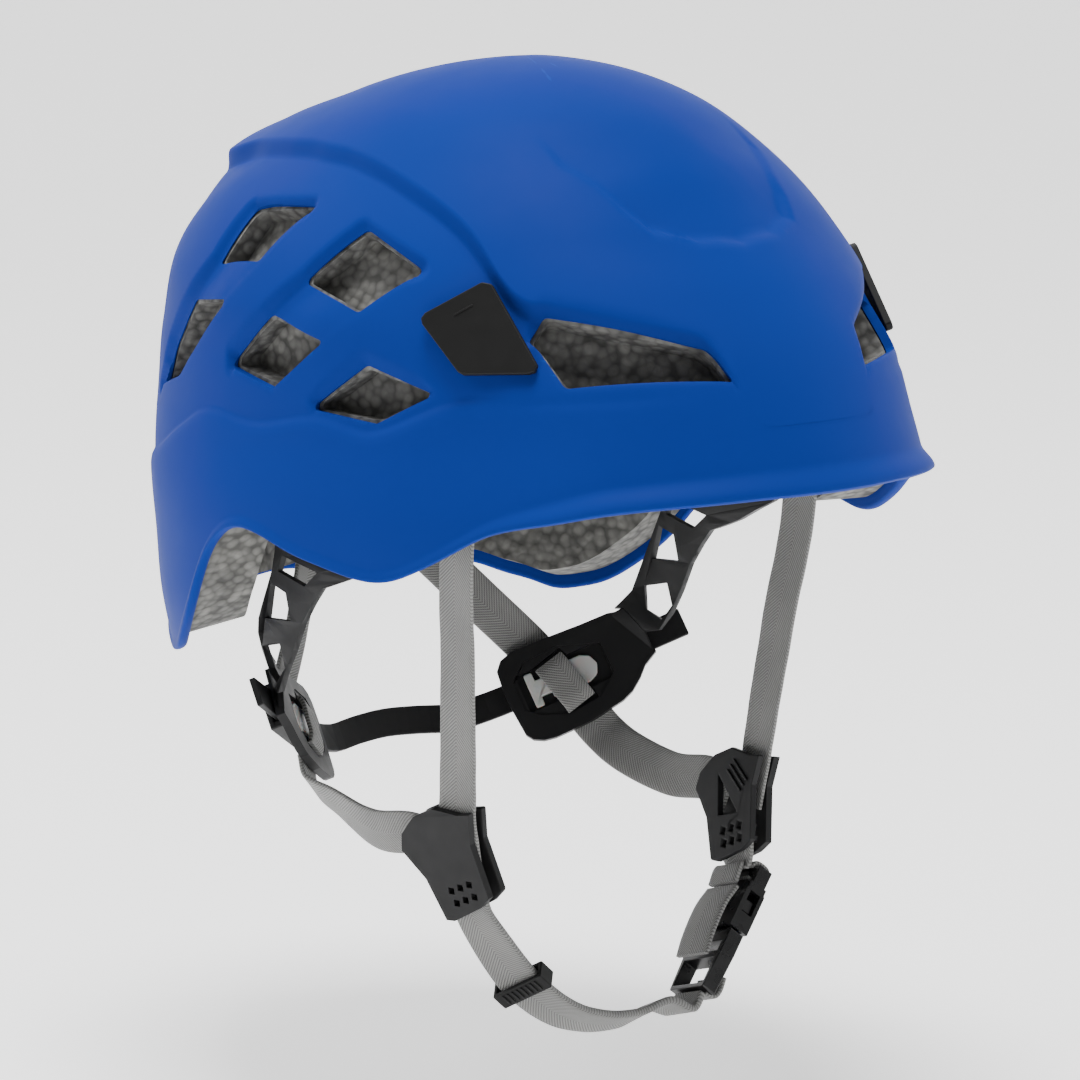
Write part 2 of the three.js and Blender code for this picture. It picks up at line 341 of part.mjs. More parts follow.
const holeR = 2.5;
let arm = bent(ARM, [CELL1, CELL2, CELL3, circle(25, 7.4, holeR), circle(-25, 13, holeR)], ARM_T, 5);
// the arm stops short of the plate's rear part so that the two only meet along the neck
const armCutter = plateAt(slab(rect(-40, 60, -60, 60), ...T(-GAP, 40)));
{
  const m = toSolid(arm);
  const half1 = plateAt(slab(ccw2([[-40, -60], [60, -60], [60, -10], [27.6, 8.6], [15.2, 22.6], [-40, 22.6]]), ...T(-20, 20)));
  arm = fromSolid(m.subtract(toSolid(half1)));
}
pair('cradle_arm', arm, BLACK);
// studs that hold the arm's two eyes to the liner
function stud(y, z) {
  const xa = armX(y, z), xl = Math.min(...[[-6, 0], [6, 0], [0, 6], [0, -6], [-4, 4], [-4, -4]].map(([a, b]) => linerX(y + a, z + b))) - 1.0;
  const disc = (r, x0, x1) => new THREE.CylinderGeometry(r, r, x1 - x0, 12).rotateZ(Math.PI / 2).translate((x0 + x1) / 2, y, z);
  const side = xa + ARM_T / 2 + 0.8;
  return join(disc(2, xa - ARM_T / 2 - 1.6, xl), disc(4.4, side, xl), disc(4, xa - ARM_T / 2 - 2.0, xa - ARM_T / 2 - 0.7));
}
pair('arm_stud_rear', stud(25, 7.4), BLACK);
pair('arm_stud_front', stud(-25, 13), BLACK);

// ---- harness webbing ----------------------------------------------------------------
const DC = V(62.7, -28, -93.8), dW = V(-0.13571557, -0.99074784, 0), dU = V(0.20635746, -0.02826746, 0.97806827);
const dN = V().crossVectors(dW, dU);             // sign checked below: must point away from the face
const dOut = dN.x > 0 ? 1 : -1;
const D3 = (a, b, t) => DC.clone().addScaledVector(dW, a).addScaledVector(dU, b).addScaledVector(dN, t * dOut);
const row = (p, w) => [p.x, p.y, p.z, w.x, w.y, w.z];
const web = (rows, steps, shift = 0) => ribbon(rows, WEB_W, WEB_T, steps, shift);
// front strap: anchor inside the liner, down in front of the ear to the divider
const fsIn = D3(5.6, 16, 0.95), fsEnd = D3(5.4, 1, 0.95);
pair('front_strap', web([[70.0, -45.6, 40, 0, -1, 0], [75.4, -44.9, 12.3, 0, -1, 0], [70.9, -39.8, -30, -0.04, -1, 0], [fsIn.x + 0.6, fsIn.y - 0.9, fsIn.z + 8, -0.12, -0.99, 0], row(fsIn, dW), row(fsEnd, dW)], 16), WEB);
pair('strap_anchor_front', new THREE.BoxGeometry(4.4, 17, 8).translate(69.0, -45.4, 44.6), BLACK);
// rear strap, in three lengths: divider to adjuster, over the pawl, adjuster to the rear anchor
const sd = [0.636, -0.773], sw = [0.773, 0.636];
const wStrap = V(0, 0, 0).addScaledVector(pT, sw[0]).addScaledVector(pU, sw[1]);
const tBack = PLATE_T + GAP + WEB_T / 2;
const L0 = P3(5.6 + 1.5 * sd[0] - 3, -16 + 1.5 * sd[1] + 3.2, tBack), L1 = P3(5.6 + 5.2 * sd[0], -16 + 5.2 * sd[1], tBack);
const dIn = D3(-14.5, 6.6, -0.95), dInW = V(0, 0, 0).addScaledVector(dW, 0.33).addScaledVector(dU, 0.94);
const dEnd = D3(-3.5, 3.2, -0.95);
pair('rear_strap_lower', web([row(L0, wStrap), row(L1, wStrap), [64.4, 27.5, -83.6, 0.55, -0.34, 0.76], [66.0, 6, -88.6, 0.3, -0.28, 0.91], row(dIn, dInW), row(dEnd, dInW)], 18), WEB);
const U0 = P3(-17.1, 9.5, tBack + 0.7), U1 = P3(-15.6, 7.6, tBack + 0.4);
const wUp = V(0.633, -0.241, 0.659);
pair('rear_strap_upper', web([row(U1, wUp), row(U0, wUp), [42, 75.6, -36.3, 0.633, -0.241, 0.659], [29.4, 85.6, -20.5, 0.64, -0.2, 0.66], [17.5, 96.2, -5.5, 0.8, 0.05, 0.55], [11.6, 106.6, 7.5, 0.97, 0.06, 0.2], [10.4, 112.4, 20.8, 1, 0.06, 0]], 16), WEB);
const rearX = (y) => y;
add('strap_anchor_rear', new THREE.BoxGeometry(40, 4.4, 9).translate(0, 112.0, 26), BLACK);
// loop over the pawl: out through the window's lower edge, across, and back in at the top
const loopPts = [[3.6, -13.6, 3.9], [2.6, -12.4, 3.4], [1.2, -10.6, -0.1], [-0.6, -8.4, -1.25], [-4.6, -3.6, -1.35], [-8.8, 1.5, -1.25], [-10.4, 3.5, -0.2], [-11.6, 4.9, 3.0]];
const loopRows = loopPts.slice(2, 7).map(([a, b, t]) => row(P3(a, b, t), wStrap));
pair('rear_strap_loop', ribbon(loopRows, 11.4, WEB_T, 10), WEB);

// ---- dividers -----------------------------------------------------------------------
const DIV = [[-2, 19.3], [9.2, 18.6], [13.7, 19.4], [12.6, 8.9], [17.2, -9], [13, -12.9], [1.1, -19.2], [-2.4, -19.4], [-8.8, -6], [-17.6, 2.6], [-16.6, 8.5], [-10.5, 15.3]];
const dPlace = (g) => placed(g, DC, dW, dU, dN);
const TD = (t0, t1) => (dOut > 0 ? [t0, t1] : [-t1, -t0]);
const slabD = (pts, t0, t1, holes) => slab(pts, ...TD(t0, t1), holes);
const holes6 = [];
for (const [cx, cy] of [[1.6, -8.6], [5.6, -6.9], [9.6, -5.2], [3.2, -12.6], [7.2, -10.9], [11.2, -9.2]]) holes6.push(rect(cx - 1.2, cx + 1.2, cy - 1.1, cy + 1.1));
const TRI = [[-6.4, 9.4], [7.2, -1.2], [-2.6, -4.2]];
const posts = [[-8.4, -5.0], [-7.9, 15.2]];
const cover = join(slabD(ccw2(DIV), 2.1, 4.6, holes6), ...posts.map(([x, y]) => { const [a, b] = TD(-1.9, 2.4); return rod(1.1, a, b, 8).translate(x, y, 0); }));
pair('divider_cover', dPlace(cover), BLACK);
pair('divider_back', dPlace(slabD(ccw2(DIV), -4.4, -2.1, [TRI, ...holes6])), BLACK);

// ---- chin strap and buckle ----------------------------------------------------------
const R3 = (v) => V(-v.x, v.y, v.z);
const cs0 = R3(D3(5.0, -8.5, 0)), cs1 = R3(D3(5.6, -17.5, 0));
const wExit = R3(V(0, 0, 0).addScaledVector(dW, 0.914).addScaledVector(dU, 0.4));
const CHIN_T = 2.6;             // two layers of webbing
const BT = V(63.06, -34, -115.9), bD = V(-0.675, -0.146, -0.723).normalize();
const bW = V(-0.09, -0.957, 0.277).addScaledVector(bD, -V(-0.09, -0.957, 0.277).dot(bD)).normalize();
const bN = V().crossVectors(bD, bW);             // sign: towards the face when negative
const bOut = bN.x > 0 ? 1 : -1;
const B3 = (l, w, t) => BT.clone().addScaledVector(bD, l).addScaledVector(bW, w).addScaledVector(bN, t * bOut);
const chinEnd = B3(46.5, 0, 0);
add('chin_strap', ribbon([row(cs0, wExit), row(cs1, wExit), [-52, -35.6, -122.5, 0.2, -0.87, 0.43], [-41.3, -37.8, -136.5, 0.33, -0.82, 0.46], [-27, -39.9, -147.6, 0.2, -0.85, 0.5], [-12, -41, -153, 0.05, -0.86, 0.51], [3, -41.2, -154.2, -0.02, -0.87, 0.49], [16.3, -40.9, -152.0, -0.06, -0.92, 0.39], row(B3(55, 0, -0.6), bW), row(B3(48.6, 0, -0.2), bW)], WEB_W, CHIN_T, 34), WEB);
const bPlace = (g) => placed(g, BT, bD, bW, bN);
const TB = (t0, t1) => (bOut > 0 ? [t0, t1] : [-t1, -t0]);
const slabB = (pts, t0, t1, holes) => slab(ccw2(pts), ...TB(t0, t1), holes);
const hw = BUCKLE_W / 2;
// socket: top and bottom skins, two side rails with release windows, webbing bar at the head
const skin = (t0, t1) => slabB([[6, -hw + 2.5], [9, -hw], [24, -hw], [24, hw], [9, hw], [6, hw - 2.5]], t0, t1);
const rails = [1, -1].flatMap((s) => [slabB(rect(17.6, 24, s > 0 ? hw - 0.8 : -hw, s > 0 ? hw : -hw + 0.8), -3.4, 3.4), slabB([[0, s * hw], [9.4, s * hw], [9.4, s * (hw - 2.2)], [0, s * (hw - 2.2)]], -2.6, 2.6)]);
const bars = [slabB(rect(0, 2.6, -hw, hw), -2.0, 2.0), slabB(rect(6.4, 9.2, -hw, hw), -3.4, 3.4)];
add('buckle_socket', bPlace(join(skin(2.2, 3.9), skin(-3.9, -2.2), ...rails, ...bars)), BLACK);
// plug: yoke with ladder bars, centre tongue; prongs are separate leaves beside it
const yoke = slabB([[24.9, -hw], [24.9, hw], [33, hw], [47.8, hw - 1.2], [47.8, -hw + 1.2], [33, -hw]], -2.9, 2.9, [rect(29.6, 33.4, -7.9, 7.9), rect(36.2, 46.2, -8.15, 8.1)]);
const tongue = slabB([[10.6, -1.6], [12, -2.2], [25.5, -2.2], [25.5, 2.2], [12, 2.2], [10.6, 1.6]], -1.6, 1.6);
add('buckle_plug', bPlace(join(yoke, tongue)), BLACK);
const prong = (s) => slabB([[24.4, s * 4.4], [24.4, s * 6.6], [17.0, s * 8.2], [16.6, s * 9.3], [12.6, s * 9.1], [10.6, s * 6.6], [12, s * 5.2], [17, s * 5.6]], -1.7, 1.7);
add('buckle_prong_front', bPlace(prong(1)), BLACK);
add('buckle_prong_rear', bPlace(prong(-1)), BLACK);
// short strap from the left divider down the inner side of the socket, a loop of it round the
// socket's head bar, and a backing flap between the buckle and the cheek
const ss0 = D3(5.0, -9.5, 0), ss1 = D3(5.6, -19.5, 0.3), wExitL = V(0, 0, 0).addScaledVector(dW, 0.914).addScaledVector(dU, 0.4);
add('buckle_strap', ribbon([row(ss0, wExitL), row(ss1, wExitL), row(B3(2.5, 0, -7.3), bW), row(B3(9, 0, -6.9), bW)], WEB_W, 1.9, 10), WEB);
add('buckle_strap_loop', ribbon([[4.7, -3.4], [4.7, 0], [4.0, 3.0], [1.3, 3.6], [-1.5, 2.7], [-2.1, 0], [-1.4, -2.8], [0.6, -3.6]].map(([l, t]) => row(B3(l, 0, t), bW)), WEB_W, 1.2, 18), WEB);
add('buckle_backing', ribbon([row(B3(10.4, 0.5, -6.4), bW), row(B3(18, 0.5, -7.8), bW), row(B3(30, 0.5, -7.4), bW), row(B3(37, 0.5, -6.2), bW)], 17, 1.6, 8), WEB);
// webbing threaded through the plug's ladder bars, and its free tail below
add('chin_strap_tail', ribbon([row(B3(49, 0, 4.6), bW), row(B3(45, 0, 5.6), bW), row(B3(39.5, 0, 5.0), bW)], WEB_W, WEB_T, 6), WEB);
// keeper on the chin strap
{
  const k0 = V(-41.3, -37.8, -136.5), kt = V(0.72, -0.12, -0.68).normalize(), kw = V(0.33, -0.82, 0.46);
  kw.addScaledVector(kt, -kw.dot(kt)).normalize();
  const kn = V().crossVectors(kt, kw), W2 = WEB_W / 2 + 0.8, T2 = CHIN_T / 2 + 0.75;
  const outer = new THREE.BoxGeometry(6.4, 2 * W2 + 3, 2 * T2 + 2.8), hole = new THREE.BoxGeometry(10, 2 * W2, 2 * T2);
  add('strap_keeper', placed(cut(outer, hole), k0, kt, kw, kn), BLACK);
}

export default group;
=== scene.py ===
"""Climbing helmet: the visual model on the CAD frame. Metres, +Z up, the wearer faces -Y, origin in the head space."""
import math

import bmesh
import bpy
import numpy as np
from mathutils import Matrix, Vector


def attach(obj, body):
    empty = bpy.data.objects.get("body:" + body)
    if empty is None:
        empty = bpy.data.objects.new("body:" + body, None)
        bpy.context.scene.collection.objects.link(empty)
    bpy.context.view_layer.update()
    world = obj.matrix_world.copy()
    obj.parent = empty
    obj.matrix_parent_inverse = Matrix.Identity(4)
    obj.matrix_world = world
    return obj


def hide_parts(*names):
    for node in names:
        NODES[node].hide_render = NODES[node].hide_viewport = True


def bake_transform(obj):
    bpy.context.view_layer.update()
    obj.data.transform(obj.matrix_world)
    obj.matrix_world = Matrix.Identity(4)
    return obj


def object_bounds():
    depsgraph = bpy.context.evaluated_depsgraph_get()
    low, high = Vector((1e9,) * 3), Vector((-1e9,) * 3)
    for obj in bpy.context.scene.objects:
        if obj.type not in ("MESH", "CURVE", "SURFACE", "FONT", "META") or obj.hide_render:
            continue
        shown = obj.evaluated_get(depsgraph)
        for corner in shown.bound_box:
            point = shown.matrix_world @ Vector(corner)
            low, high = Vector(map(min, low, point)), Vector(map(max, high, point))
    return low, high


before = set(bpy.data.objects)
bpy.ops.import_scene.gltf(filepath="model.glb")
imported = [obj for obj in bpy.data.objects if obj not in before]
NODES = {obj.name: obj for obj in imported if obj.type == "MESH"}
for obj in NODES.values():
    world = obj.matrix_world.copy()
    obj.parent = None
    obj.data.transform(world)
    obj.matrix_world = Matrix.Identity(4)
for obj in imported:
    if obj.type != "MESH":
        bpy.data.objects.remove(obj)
cad_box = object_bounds()
MM = 0.001

# ---- dimensions, the same as the CAD source's, in millimetres --------------------------
SHELL_T, GAP, PAD_GAP, LINER_IN, POCKET = 3.0, 0.35, 1.3, 24.0, 7.0
LINER_SPLIT, RIM_SETBACK, RECESS_TOP, RECESS_LOW = 31.5, 1.6, 3.8, 1.5
WEB_W, WEB_T, BAND_H, BAND_T, PLATE_T, ARM_T, CLIP_T, CHIN_T, BUCKLE_W = 15.0, 1.5, 9.7, 2.0, 3.0, 2.2, 2.6, 2.6, 21.0
CENTRE = np.array([0, 7.943, 20.0])
SECTION_N = 1.9967
PSI = [0, 12, 24, 36, 48, 58, 68, 78, 88, 98, 108, 120]
R_FRONT = [139.0, 139.4, 138.0, 135.6, 134.9, 138.0, 142.2, 144.9, 148.5, 150.7, 151.1, 150.9]
R_SIDE = [139.0, 138.5, 137.5, 134.4, 130.7, 125.3, 116.9, 112.8, 114.6, 116.5, 119.2, 123.0]
R_REAR = [139.0, 138.1, 139.2, 145.9, 154.7, 153.9, 148.4, 141.4, 134.9, 131.1, 135.0, 141.4]
RIM = [[0, 84.7], [10.7, 84.7], [15.8, 84.9], [22.7, 85.2], [32.9, 86.1], [37, 87.0], [43.2, 88.0], [47.8, 89.2], [51, 91.3], [55.1, 93.6], [58.7, 95.5], [61.4, 96.8], [64.2, 97.5], [69.2, 97.1], [74.5, 96.0], [80.2, 95.0], [86.4, 93.1], [90.4, 92.1], [93.3, 91.8], [97, 92.5], [100.2, 94.5], [103.4, 97.3], [107.5, 102.8], [112, 107.7], [119.6, 113.1], [124.4, 115.4], [129.1, 115.9], [133, 116.5], [135.4, 114.8], [142.2, 113.2], [146.4, 111.2], [168, 110.7], [180, 109.7]]
RIDGE = [[0, 73.4], [10.2, 73.4], [11.1, 73.2], [12.4, 68.1], [13.7, 65.2], [15.1, 63.8], [19.2, 62.4], [27.6, 60.2], [36.4, 57.8], [41.2, 56.7], [43.4, 55.5], [46.1, 52.6], [49, 48.4], [54.5, 43.6], [65.4, 38.3], [79.7, 34.1], [92.7, 32.4], [104.7, 32.3], [118.6, 33.7], [137.9, 37.9], [153.1, 45.0], [165, 46.6], [180, 47]]
BELT = [[0, 71.6], [12.7, 70.8], [36, 70.3], [45.4, 70.2], [53, 70.2], [56.1, 71.3], [60.8, 73.1], [65.4, 74.8], [67.7, 75.3], [73.3, 74.1], [78, 73.2], [94.8, 75.5], [105.9, 74.8], [109.2, 75.1], [117.6, 78.8], [129, 84.2], [150, 88], [180, 89]]
VENTS = {
    "A": [[-85.3, 44.4, 113.4], [-85.4, 35.9, 115.2], [-86.4, 13.3, 116.8], [-88.4, 12.3, 114.4], [-98.3, 24.8, 97.7], [-94.2, 51.8, 95.5], [-93.1, 50.3, 98.8]],
    "B": [[-88.0, -15.9, 111.2], [-86.7, -39.5, 100.9], [-88.5, -39.6, 98.1], [-99.0, -25.5, 85.8], [-100.4, -0.6, 93.8], [-99.7, -0.5, 95.5], [-88.6, -14.2, 111.0]],
    "C": [[-94.5, 64.4, 81.7], [-101.1, 37.8, 84.7], [-101.4, 38.8, 81.9], [-96.3, 64.6, 59.0], [-95.1, 68.3, 56.2], [-83.7, 92.1, 49.4], [-87.1, 85.5, 57.8], [-89.0, 80.8, 64.8]],
    "D": [[-104.2, 11.9, 82.1], [-103.4, -12.7, 76.5], [-103.5, -12.8, 75.2], [-105.9, 7.5, 59.3], [-103.9, 31.1, 63.9], [-103.8, 30.5, 66.6], [-104.3, 13.9, 81.4]],
    "E": [[-100.1, -30.6, 70.0], [-93.3, -53.3, 62.9], [-93.5, -53.4, 61.6], [-100.5, -36.3, 52.1], [-105.0, -11.8, 54.5], [-104.9, -11.7, 56.6], [-100.5, -29.2, 69.7]],
    "F": [[-68.9, -78.4, 87.5], [-52.7, -95.4, 83.6], [-31.9, -111.6, 77.0], [-30.0, -114.4, 73.9], [-27.3, -119.4, 66.4], [-70.5, -89.6, 65.1], [-73.1, -80.3, 77.1], [-74.4, -77.3, 79.7]],
}
U_SYM = np.array([[-43, -30], [-43, -57], [-38, -68.5], [-35.2, -77.5], [-30.5, -86], [-17, -93], [0, -96], [17, -93], [30.5, -86], [35.2, -77.5], [38, -68.5], [43, -57], [43, -30]], float)


# ---- small maths -------------------------------------------------------------------
def smooth(a, b, x):
    t = np.clip((np.asarray(x, float) - a) / (b - a), 0, 1)
    return t * t * (3 - 2 * t)


def pchip(xs, ys):
    xs, ys = np.array(xs, float), np.array(ys, float)
    h = np.diff(xs)
    d = np.diff(ys) / h
    n = len(xs)
    m = np.zeros(n)
    for i in range(1, n - 1):
        if d[i - 1] * d[i] > 0:
            a, b = 2 * h[i] + h[i - 1], h[i] + 2 * h[i - 1]
            m[i] = (a + b) / (a / d[i - 1] + b / d[i])

    def end(h0, h1, d0, d1):
        v = ((2 * h0 + h1) * d0 - h0 * d1) / (h0 + h1)
        if v * d0 <= 0:
            return 0.0
        if d0 * d1 <= 0 and abs(v) > 3 * abs(d0):
            return 3 * d0
        return v

    m[0], m[-1] = end(h[0], h[1], d[0], d[1]), end(h[-1], h[-2], d[-1], d[-2])

    def f(x):
        x = np.asarray(x, float)
        i = np.clip(np.searchsorted(xs, x, side="left") - 1, 0, n - 2)
        t = (x - xs[i]) / h[i]
        t2, t3 = t * t, t * t * t
        v = (2 * t3 - 3 * t2 + 1) * ys[i] + (t3 - 2 * t2 + t) * h[i] * m[i] + (3 * t2 - 2 * t3) * ys[i + 1] + (t3 - t2) * h[i] * m[i + 1]
        v = np.where(x <= xs[0], ys[0], v)
        return np.where(x >= xs[-1], ys[-1] + m[-1] * (x - xs[-1]), v)

    return f


_fF, _fS, _fR = pchip(PSI, R_FRONT), pchip(PSI, R_SIDE), pchip(PSI, R_REAR)
_rim, _ridge, _belt = (pchip([p[0] for p in t], [p[1] for p in t]) for t in (RIM, RIDGE, BELT))


def softened(f, sigma):
    """The same line with its corners eased by a few degrees, as a moulded edge has."""
    xs = np.arange(-180, 180, 0.5)
    k = np.exp(-0.5 * (np.arange(-24, 25) * 0.5 / sigma) ** 2)
    ys = f(np.abs(xs))
    ys = np.convolve(np.concatenate([ys[-24:], ys, ys[:24]]), k / k.sum(), "valid")
    return lambda th: np.interp((np.asarray(th, float) + 180) % 360 - 180, np.append(xs, 180.0), np.append(ys, ys[0]))


rim_psi, ridge_psi, belt_psi = softened(_rim, 2.3), softened(_ridge, 1.3), softened(_belt, 2.0)


def hull(th, ps):
    th, ps = np.broadcast_arrays(np.asarray(th, float), np.asarray(ps, float))
    c, s = np.cos(np.radians(th)), np.sin(np.radians(th))
    rf = np.where(c > 0, _fF(ps), _fR(ps))
    rs = _fS(ps)
    R = (np.abs(s / rs) ** SECTION_N + np.abs(c / rf) ** SECTION_N) ** (-1 / SECTION_N)
    sp, cp = np.sin(np.radians(ps)), np.cos(np.radians(ps))
    return np.stack([CENTRE[0] + R * sp * s, CENTRE[1] - R * sp * c, CENTRE[2] + R * cp], -1)


def unit(v):
    v = np.asarray(v, float)
    return v / np.linalg.norm(v, axis=-1, keepdims=True)


def hull_normal(th, ps):
    th, ps = np.broadcast_arrays(np.asarray(th, float), np.asarray(ps, float))
    e = 0.6
    q = np.maximum(ps, 1.2)
    dt = e / np.sin(np.radians(q))
    n = unit(np.cross(hull(th, q + e) - hull(th, q - e), hull(th + dt, q) - hull(th - dt, q)))
    out = hull(th, q) - CENTRE
    n = np.where((np.sum(n * out, -1) < 0)[..., None], -n, n)
    k = np.clip(ps / 1.2, 0, 1)[..., None]
    return unit(np.concatenate([n[..., :2] * k, n[..., 2:]], -1))


def at(th, ps, depth):
    return hull(th, ps) - hull_normal(th, ps) * np.asarray(depth)[..., None]


def recess(th, ps):
    a = np.abs(th)
    r0, b0 = ridge_psi(a), belt_psi(a)
    side = smooth(10.4, 15.0, a) * smooth(1.5, 9.5, b0 - r0)
    down = _sm(r0, r0 + 2.8, ps)
    low = RECESS_LOW * (0.1 + 0.9 * smooth(40, 52, a))
    t = np.clip((ps - r0 - 2.0) / np.maximum(3.0, b0 - r0 - 2.2), 0, 1)
    d = RECESS_TOP + (low - RECESS_TOP) * t * t * (3 - 2 * t)
    up = 1 - _sm(b0 - 0.3, b0 + 1.2, ps)
    return side * down * up * d * (1 - 0.7 * smooth(150, 176, a))


def _sm(a, b, x):
    t = np.clip((x - a) / (b - a), 0, 1)
    return t * t * (3 - 2 * t)


def flare(th, ps):
    q = rim_psi(th) - ps
    front = 1 - smooth(30, 52, np.abs(th))
    w = 1.6 + 1.6 * front
    t = np.clip(q / w, 0, 1)
    return -(0.9 + 2.0 * front) * (1 - t * t * (3 - 2 * t))


def polar(p):
    d = np.asarray(p, float) - CENTRE
    return np.degrees(np.arctan2(d[..., 0], -d[..., 1])), np.degrees(np.arccos(d[..., 2] / np.linalg.norm(d, axis=-1)))


class Vent:
    """A vent's outline on the plane of its mean normal, and the soft slope that leads into its upper and rear edges."""

    def __init__(self, poly):
        self.p = np.array(poly, float)
        self.c = self.p.mean(0)
        th, ps = polar(self.c)
        self.n = hull_normal(th, ps)
        up = np.array([0, 0, 1.0])
        self.ey = unit(up - self.n * (up @ self.n))
        self.ex = np.cross(self.ey, self.n)
        r = self.p - self.c
        self.q = np.stack([r @ self.ex, r @ self.ey], -1)
        e = np.roll(self.q, -1, 0) - self.q
        area = 0.5 * np.sum(self.q[:, 0] * np.roll(self.q[:, 1], -1) - self.q[:, 1] * np.roll(self.q[:, 0], -1))
        out2 = unit(np.stack([e[:, 1], -e[:, 0]], -1)) * np.sign(area)
        out3 = out2[:, :1] * self.ex + out2[:, 1:] * self.ey
        self.lean = smooth(0.05, 0.75, out3 @ unit(np.array([0, 0.45, 0.9])))

    def slope(self, P):
        """Depth in mm of the slope into the vent at hull points P."""
        r = P - self.c
        near = np.abs(r @ self.n) < 25
        x = np.stack([r @ self.ex, r @ self.ey], -1)
        near &= np.linalg.norm(x, axis=-1) < 45
        d = np.zeros(P.shape[:-1])
        X = x[near]
        if not len(X):
            return d
        best = np.full(len(X), 1e9)
        w = np.zeros(len(X))
        inside = np.zeros(len(X), bool)
        n = len(self.q)
        num, den = np.zeros(len(X)), np.zeros(len(X))
        for i in range(n):
            a, b = self.q[i], self.q[(i + 1) % n]
            t = np.clip(((X - a) @ (b - a)) / ((b - a) @ (b - a)), 0, 1)
            dist = np.linalg.norm(X - (a + t[:, None] * (b - a)), axis=-1)
            k = 1 / (dist + 0.35) ** 4
            num += k * self.lean[i]
            den += k
            best = np.minimum(best, dist)
            cross = (a[1] > X[:, 1]) != (b[1] > X[:, 1])
            with np.errstate(divide="ignore", invalid="ignore"):
                xi = (b[0] - a[0]) * (X[:, 1] - a[1]) / (b[1] - a[1]) + a[0]
            inside ^= cross & (X[:, 0] < xi)
        lean = num / den
        w = 0.9 + 4.4 * lean
        deep = 0.25 + 1.85 * lean
        u = np.clip(np.where(inside, 0.0, best) / w, 0, 1)
        d[near] = deep * (1 - u) ** 1.5
        return d


class Channel:
    """A sunk strip over one or two vents. Each edge has a depth and the width of the slope that leads down to it; the floor between runs from one edge's depth to the next."""

    def __init__(self, poly, edges):
        self.p = np.array(poly, float)
        self.c = self.p.mean(0)
        th, ps = polar(self.c)
        self.n = hull_normal(th, ps)
        self.ey = unit(np.array([0, 0, 1.0]) - self.n * self.n[2])
        self.ex = np.cross(self.ey, self.n)
        r = self.p - self.c
        self.q = np.stack([r @ self.ex, r @ self.ey], -1)
        self.edges = edges

    def slope(self, P):
        r = P - self.c
        x = np.stack([r @ self.ex, r @ self.ey], -1)
        near = (np.abs(r @ self.n) < 34) & (np.linalg.norm(x, axis=-1) < 80)
        d = np.zeros(P.shape[:-1])
        X = x[near]
        if not len(X):
            return d
        n = len(self.q)
        inside = np.zeros(len(X), bool)
        num, den, cover = np.zeros(len(X)), np.zeros(len(X)), np.zeros(len(X))
        best = np.full(len(X), 1e9)
        for i in range(n):
            a, b = self.q[i], self.q[(i + 1) % n]
            deep, wide = self.edges[i]
            t = np.clip(((X - a) @ (b - a)) / ((b - a) @ (b - a)), 0, 1)
            dist = np.linalg.norm(X - (a + t[:, None] * (b - a)), axis=-1)
            k = 1 / (dist + 0.8) ** 2
            num += k * deep
            den += k
            u = np.clip(dist / wide, 0, 1)
            cover = np.maximum(cover, deep * (1 - u * u * (3 - 2 * u)) * (dist < wide))
            best = np.minimum(best, dist)
            cross = (a[1] > X[:, 1]) != (b[1] > X[:, 1])
            with np.errstate(divide="ignore", invalid="ignore"):
                xi = (b[0] - a[0]) * (X[:, 1] - a[1]) / (b[1] - a[1]) + a[0]
            inside ^= cross & (X[:, 0] < xi)
        d[near] = np.where(inside, num / den, cover)
        return d


# outline points, then (depth, slope width) of the edge that starts at each
CHANNELS = [
    # A and C: rear edge from A's top rear corner down C's rear side, then the front edge back up
    ([[-85.3, 44.4, 113.4], [-86.4, 13.3, 116.8], [-88.6, 11.5, 114.2], [-98.4, 24.2, 97.6], [-101.3, 37.6, 84.9], [-101.6, 38.6, 81.8], [-96.3, 64.6, 59.0], [-95.1, 68.3, 56.2], [-83.7, 92.1, 49.4], [-87.1, 85.5, 57.8], [-89.0, 80.8, 64.8], [-94.5, 64.4, 81.7], [-94.2, 51.8, 95.5]],
     [(2.9, 4.6), (0.9, 1.8), (0.25, 1.2), (0.25, 1.2), (0.25, 1.2), (0.25, 1.2), (0.3, 1.2), (0.4, 1.4), (2.0, 3.0), (2.8, 4.0), (2.9, 4.4), (2.9, 4.8), (2.9, 4.8)]),
    # B and D: rear edge is the long slope, the upper front one tapers to B's front corner
    ([[-88.4, -14.6, 111.3], [-86.5, -39.8, 100.9], [-88.5, -39.8, 98.0], [-99.0, -25.5, 85.8], [-103.4, -12.9, 76.4], [-103.5, -13.0, 75.1], [-105.9, 7.5, 59.3], [-103.9, 31.1, 63.9], [-103.8, 30.5, 66.8], [-104.2, 13.0, 82.0], [-100.4, -0.6, 94.0]],
     [(2.9, 4.8), (0.9, 2.0), (0.25, 1.2), (0.25, 1.2), (0.25, 1.2), (0.3, 1.2), (0.45, 1.6), (2.0, 3.0), (2.9, 4.6), (3.0, 5.2), (3.0, 5.0)]),
]
VENT_LIST = [Vent(VENTS[k]) for k in "EF"] + [Vent([[-x, y, z] for x, y, z in VENTS[k]]) for k in "EF"]


for _poly, _edges in CHANNELS:
    VENT_LIST += [Channel(_poly, _edges), Channel([[-x, y, z] for x, y, z in _poly], _edges)]


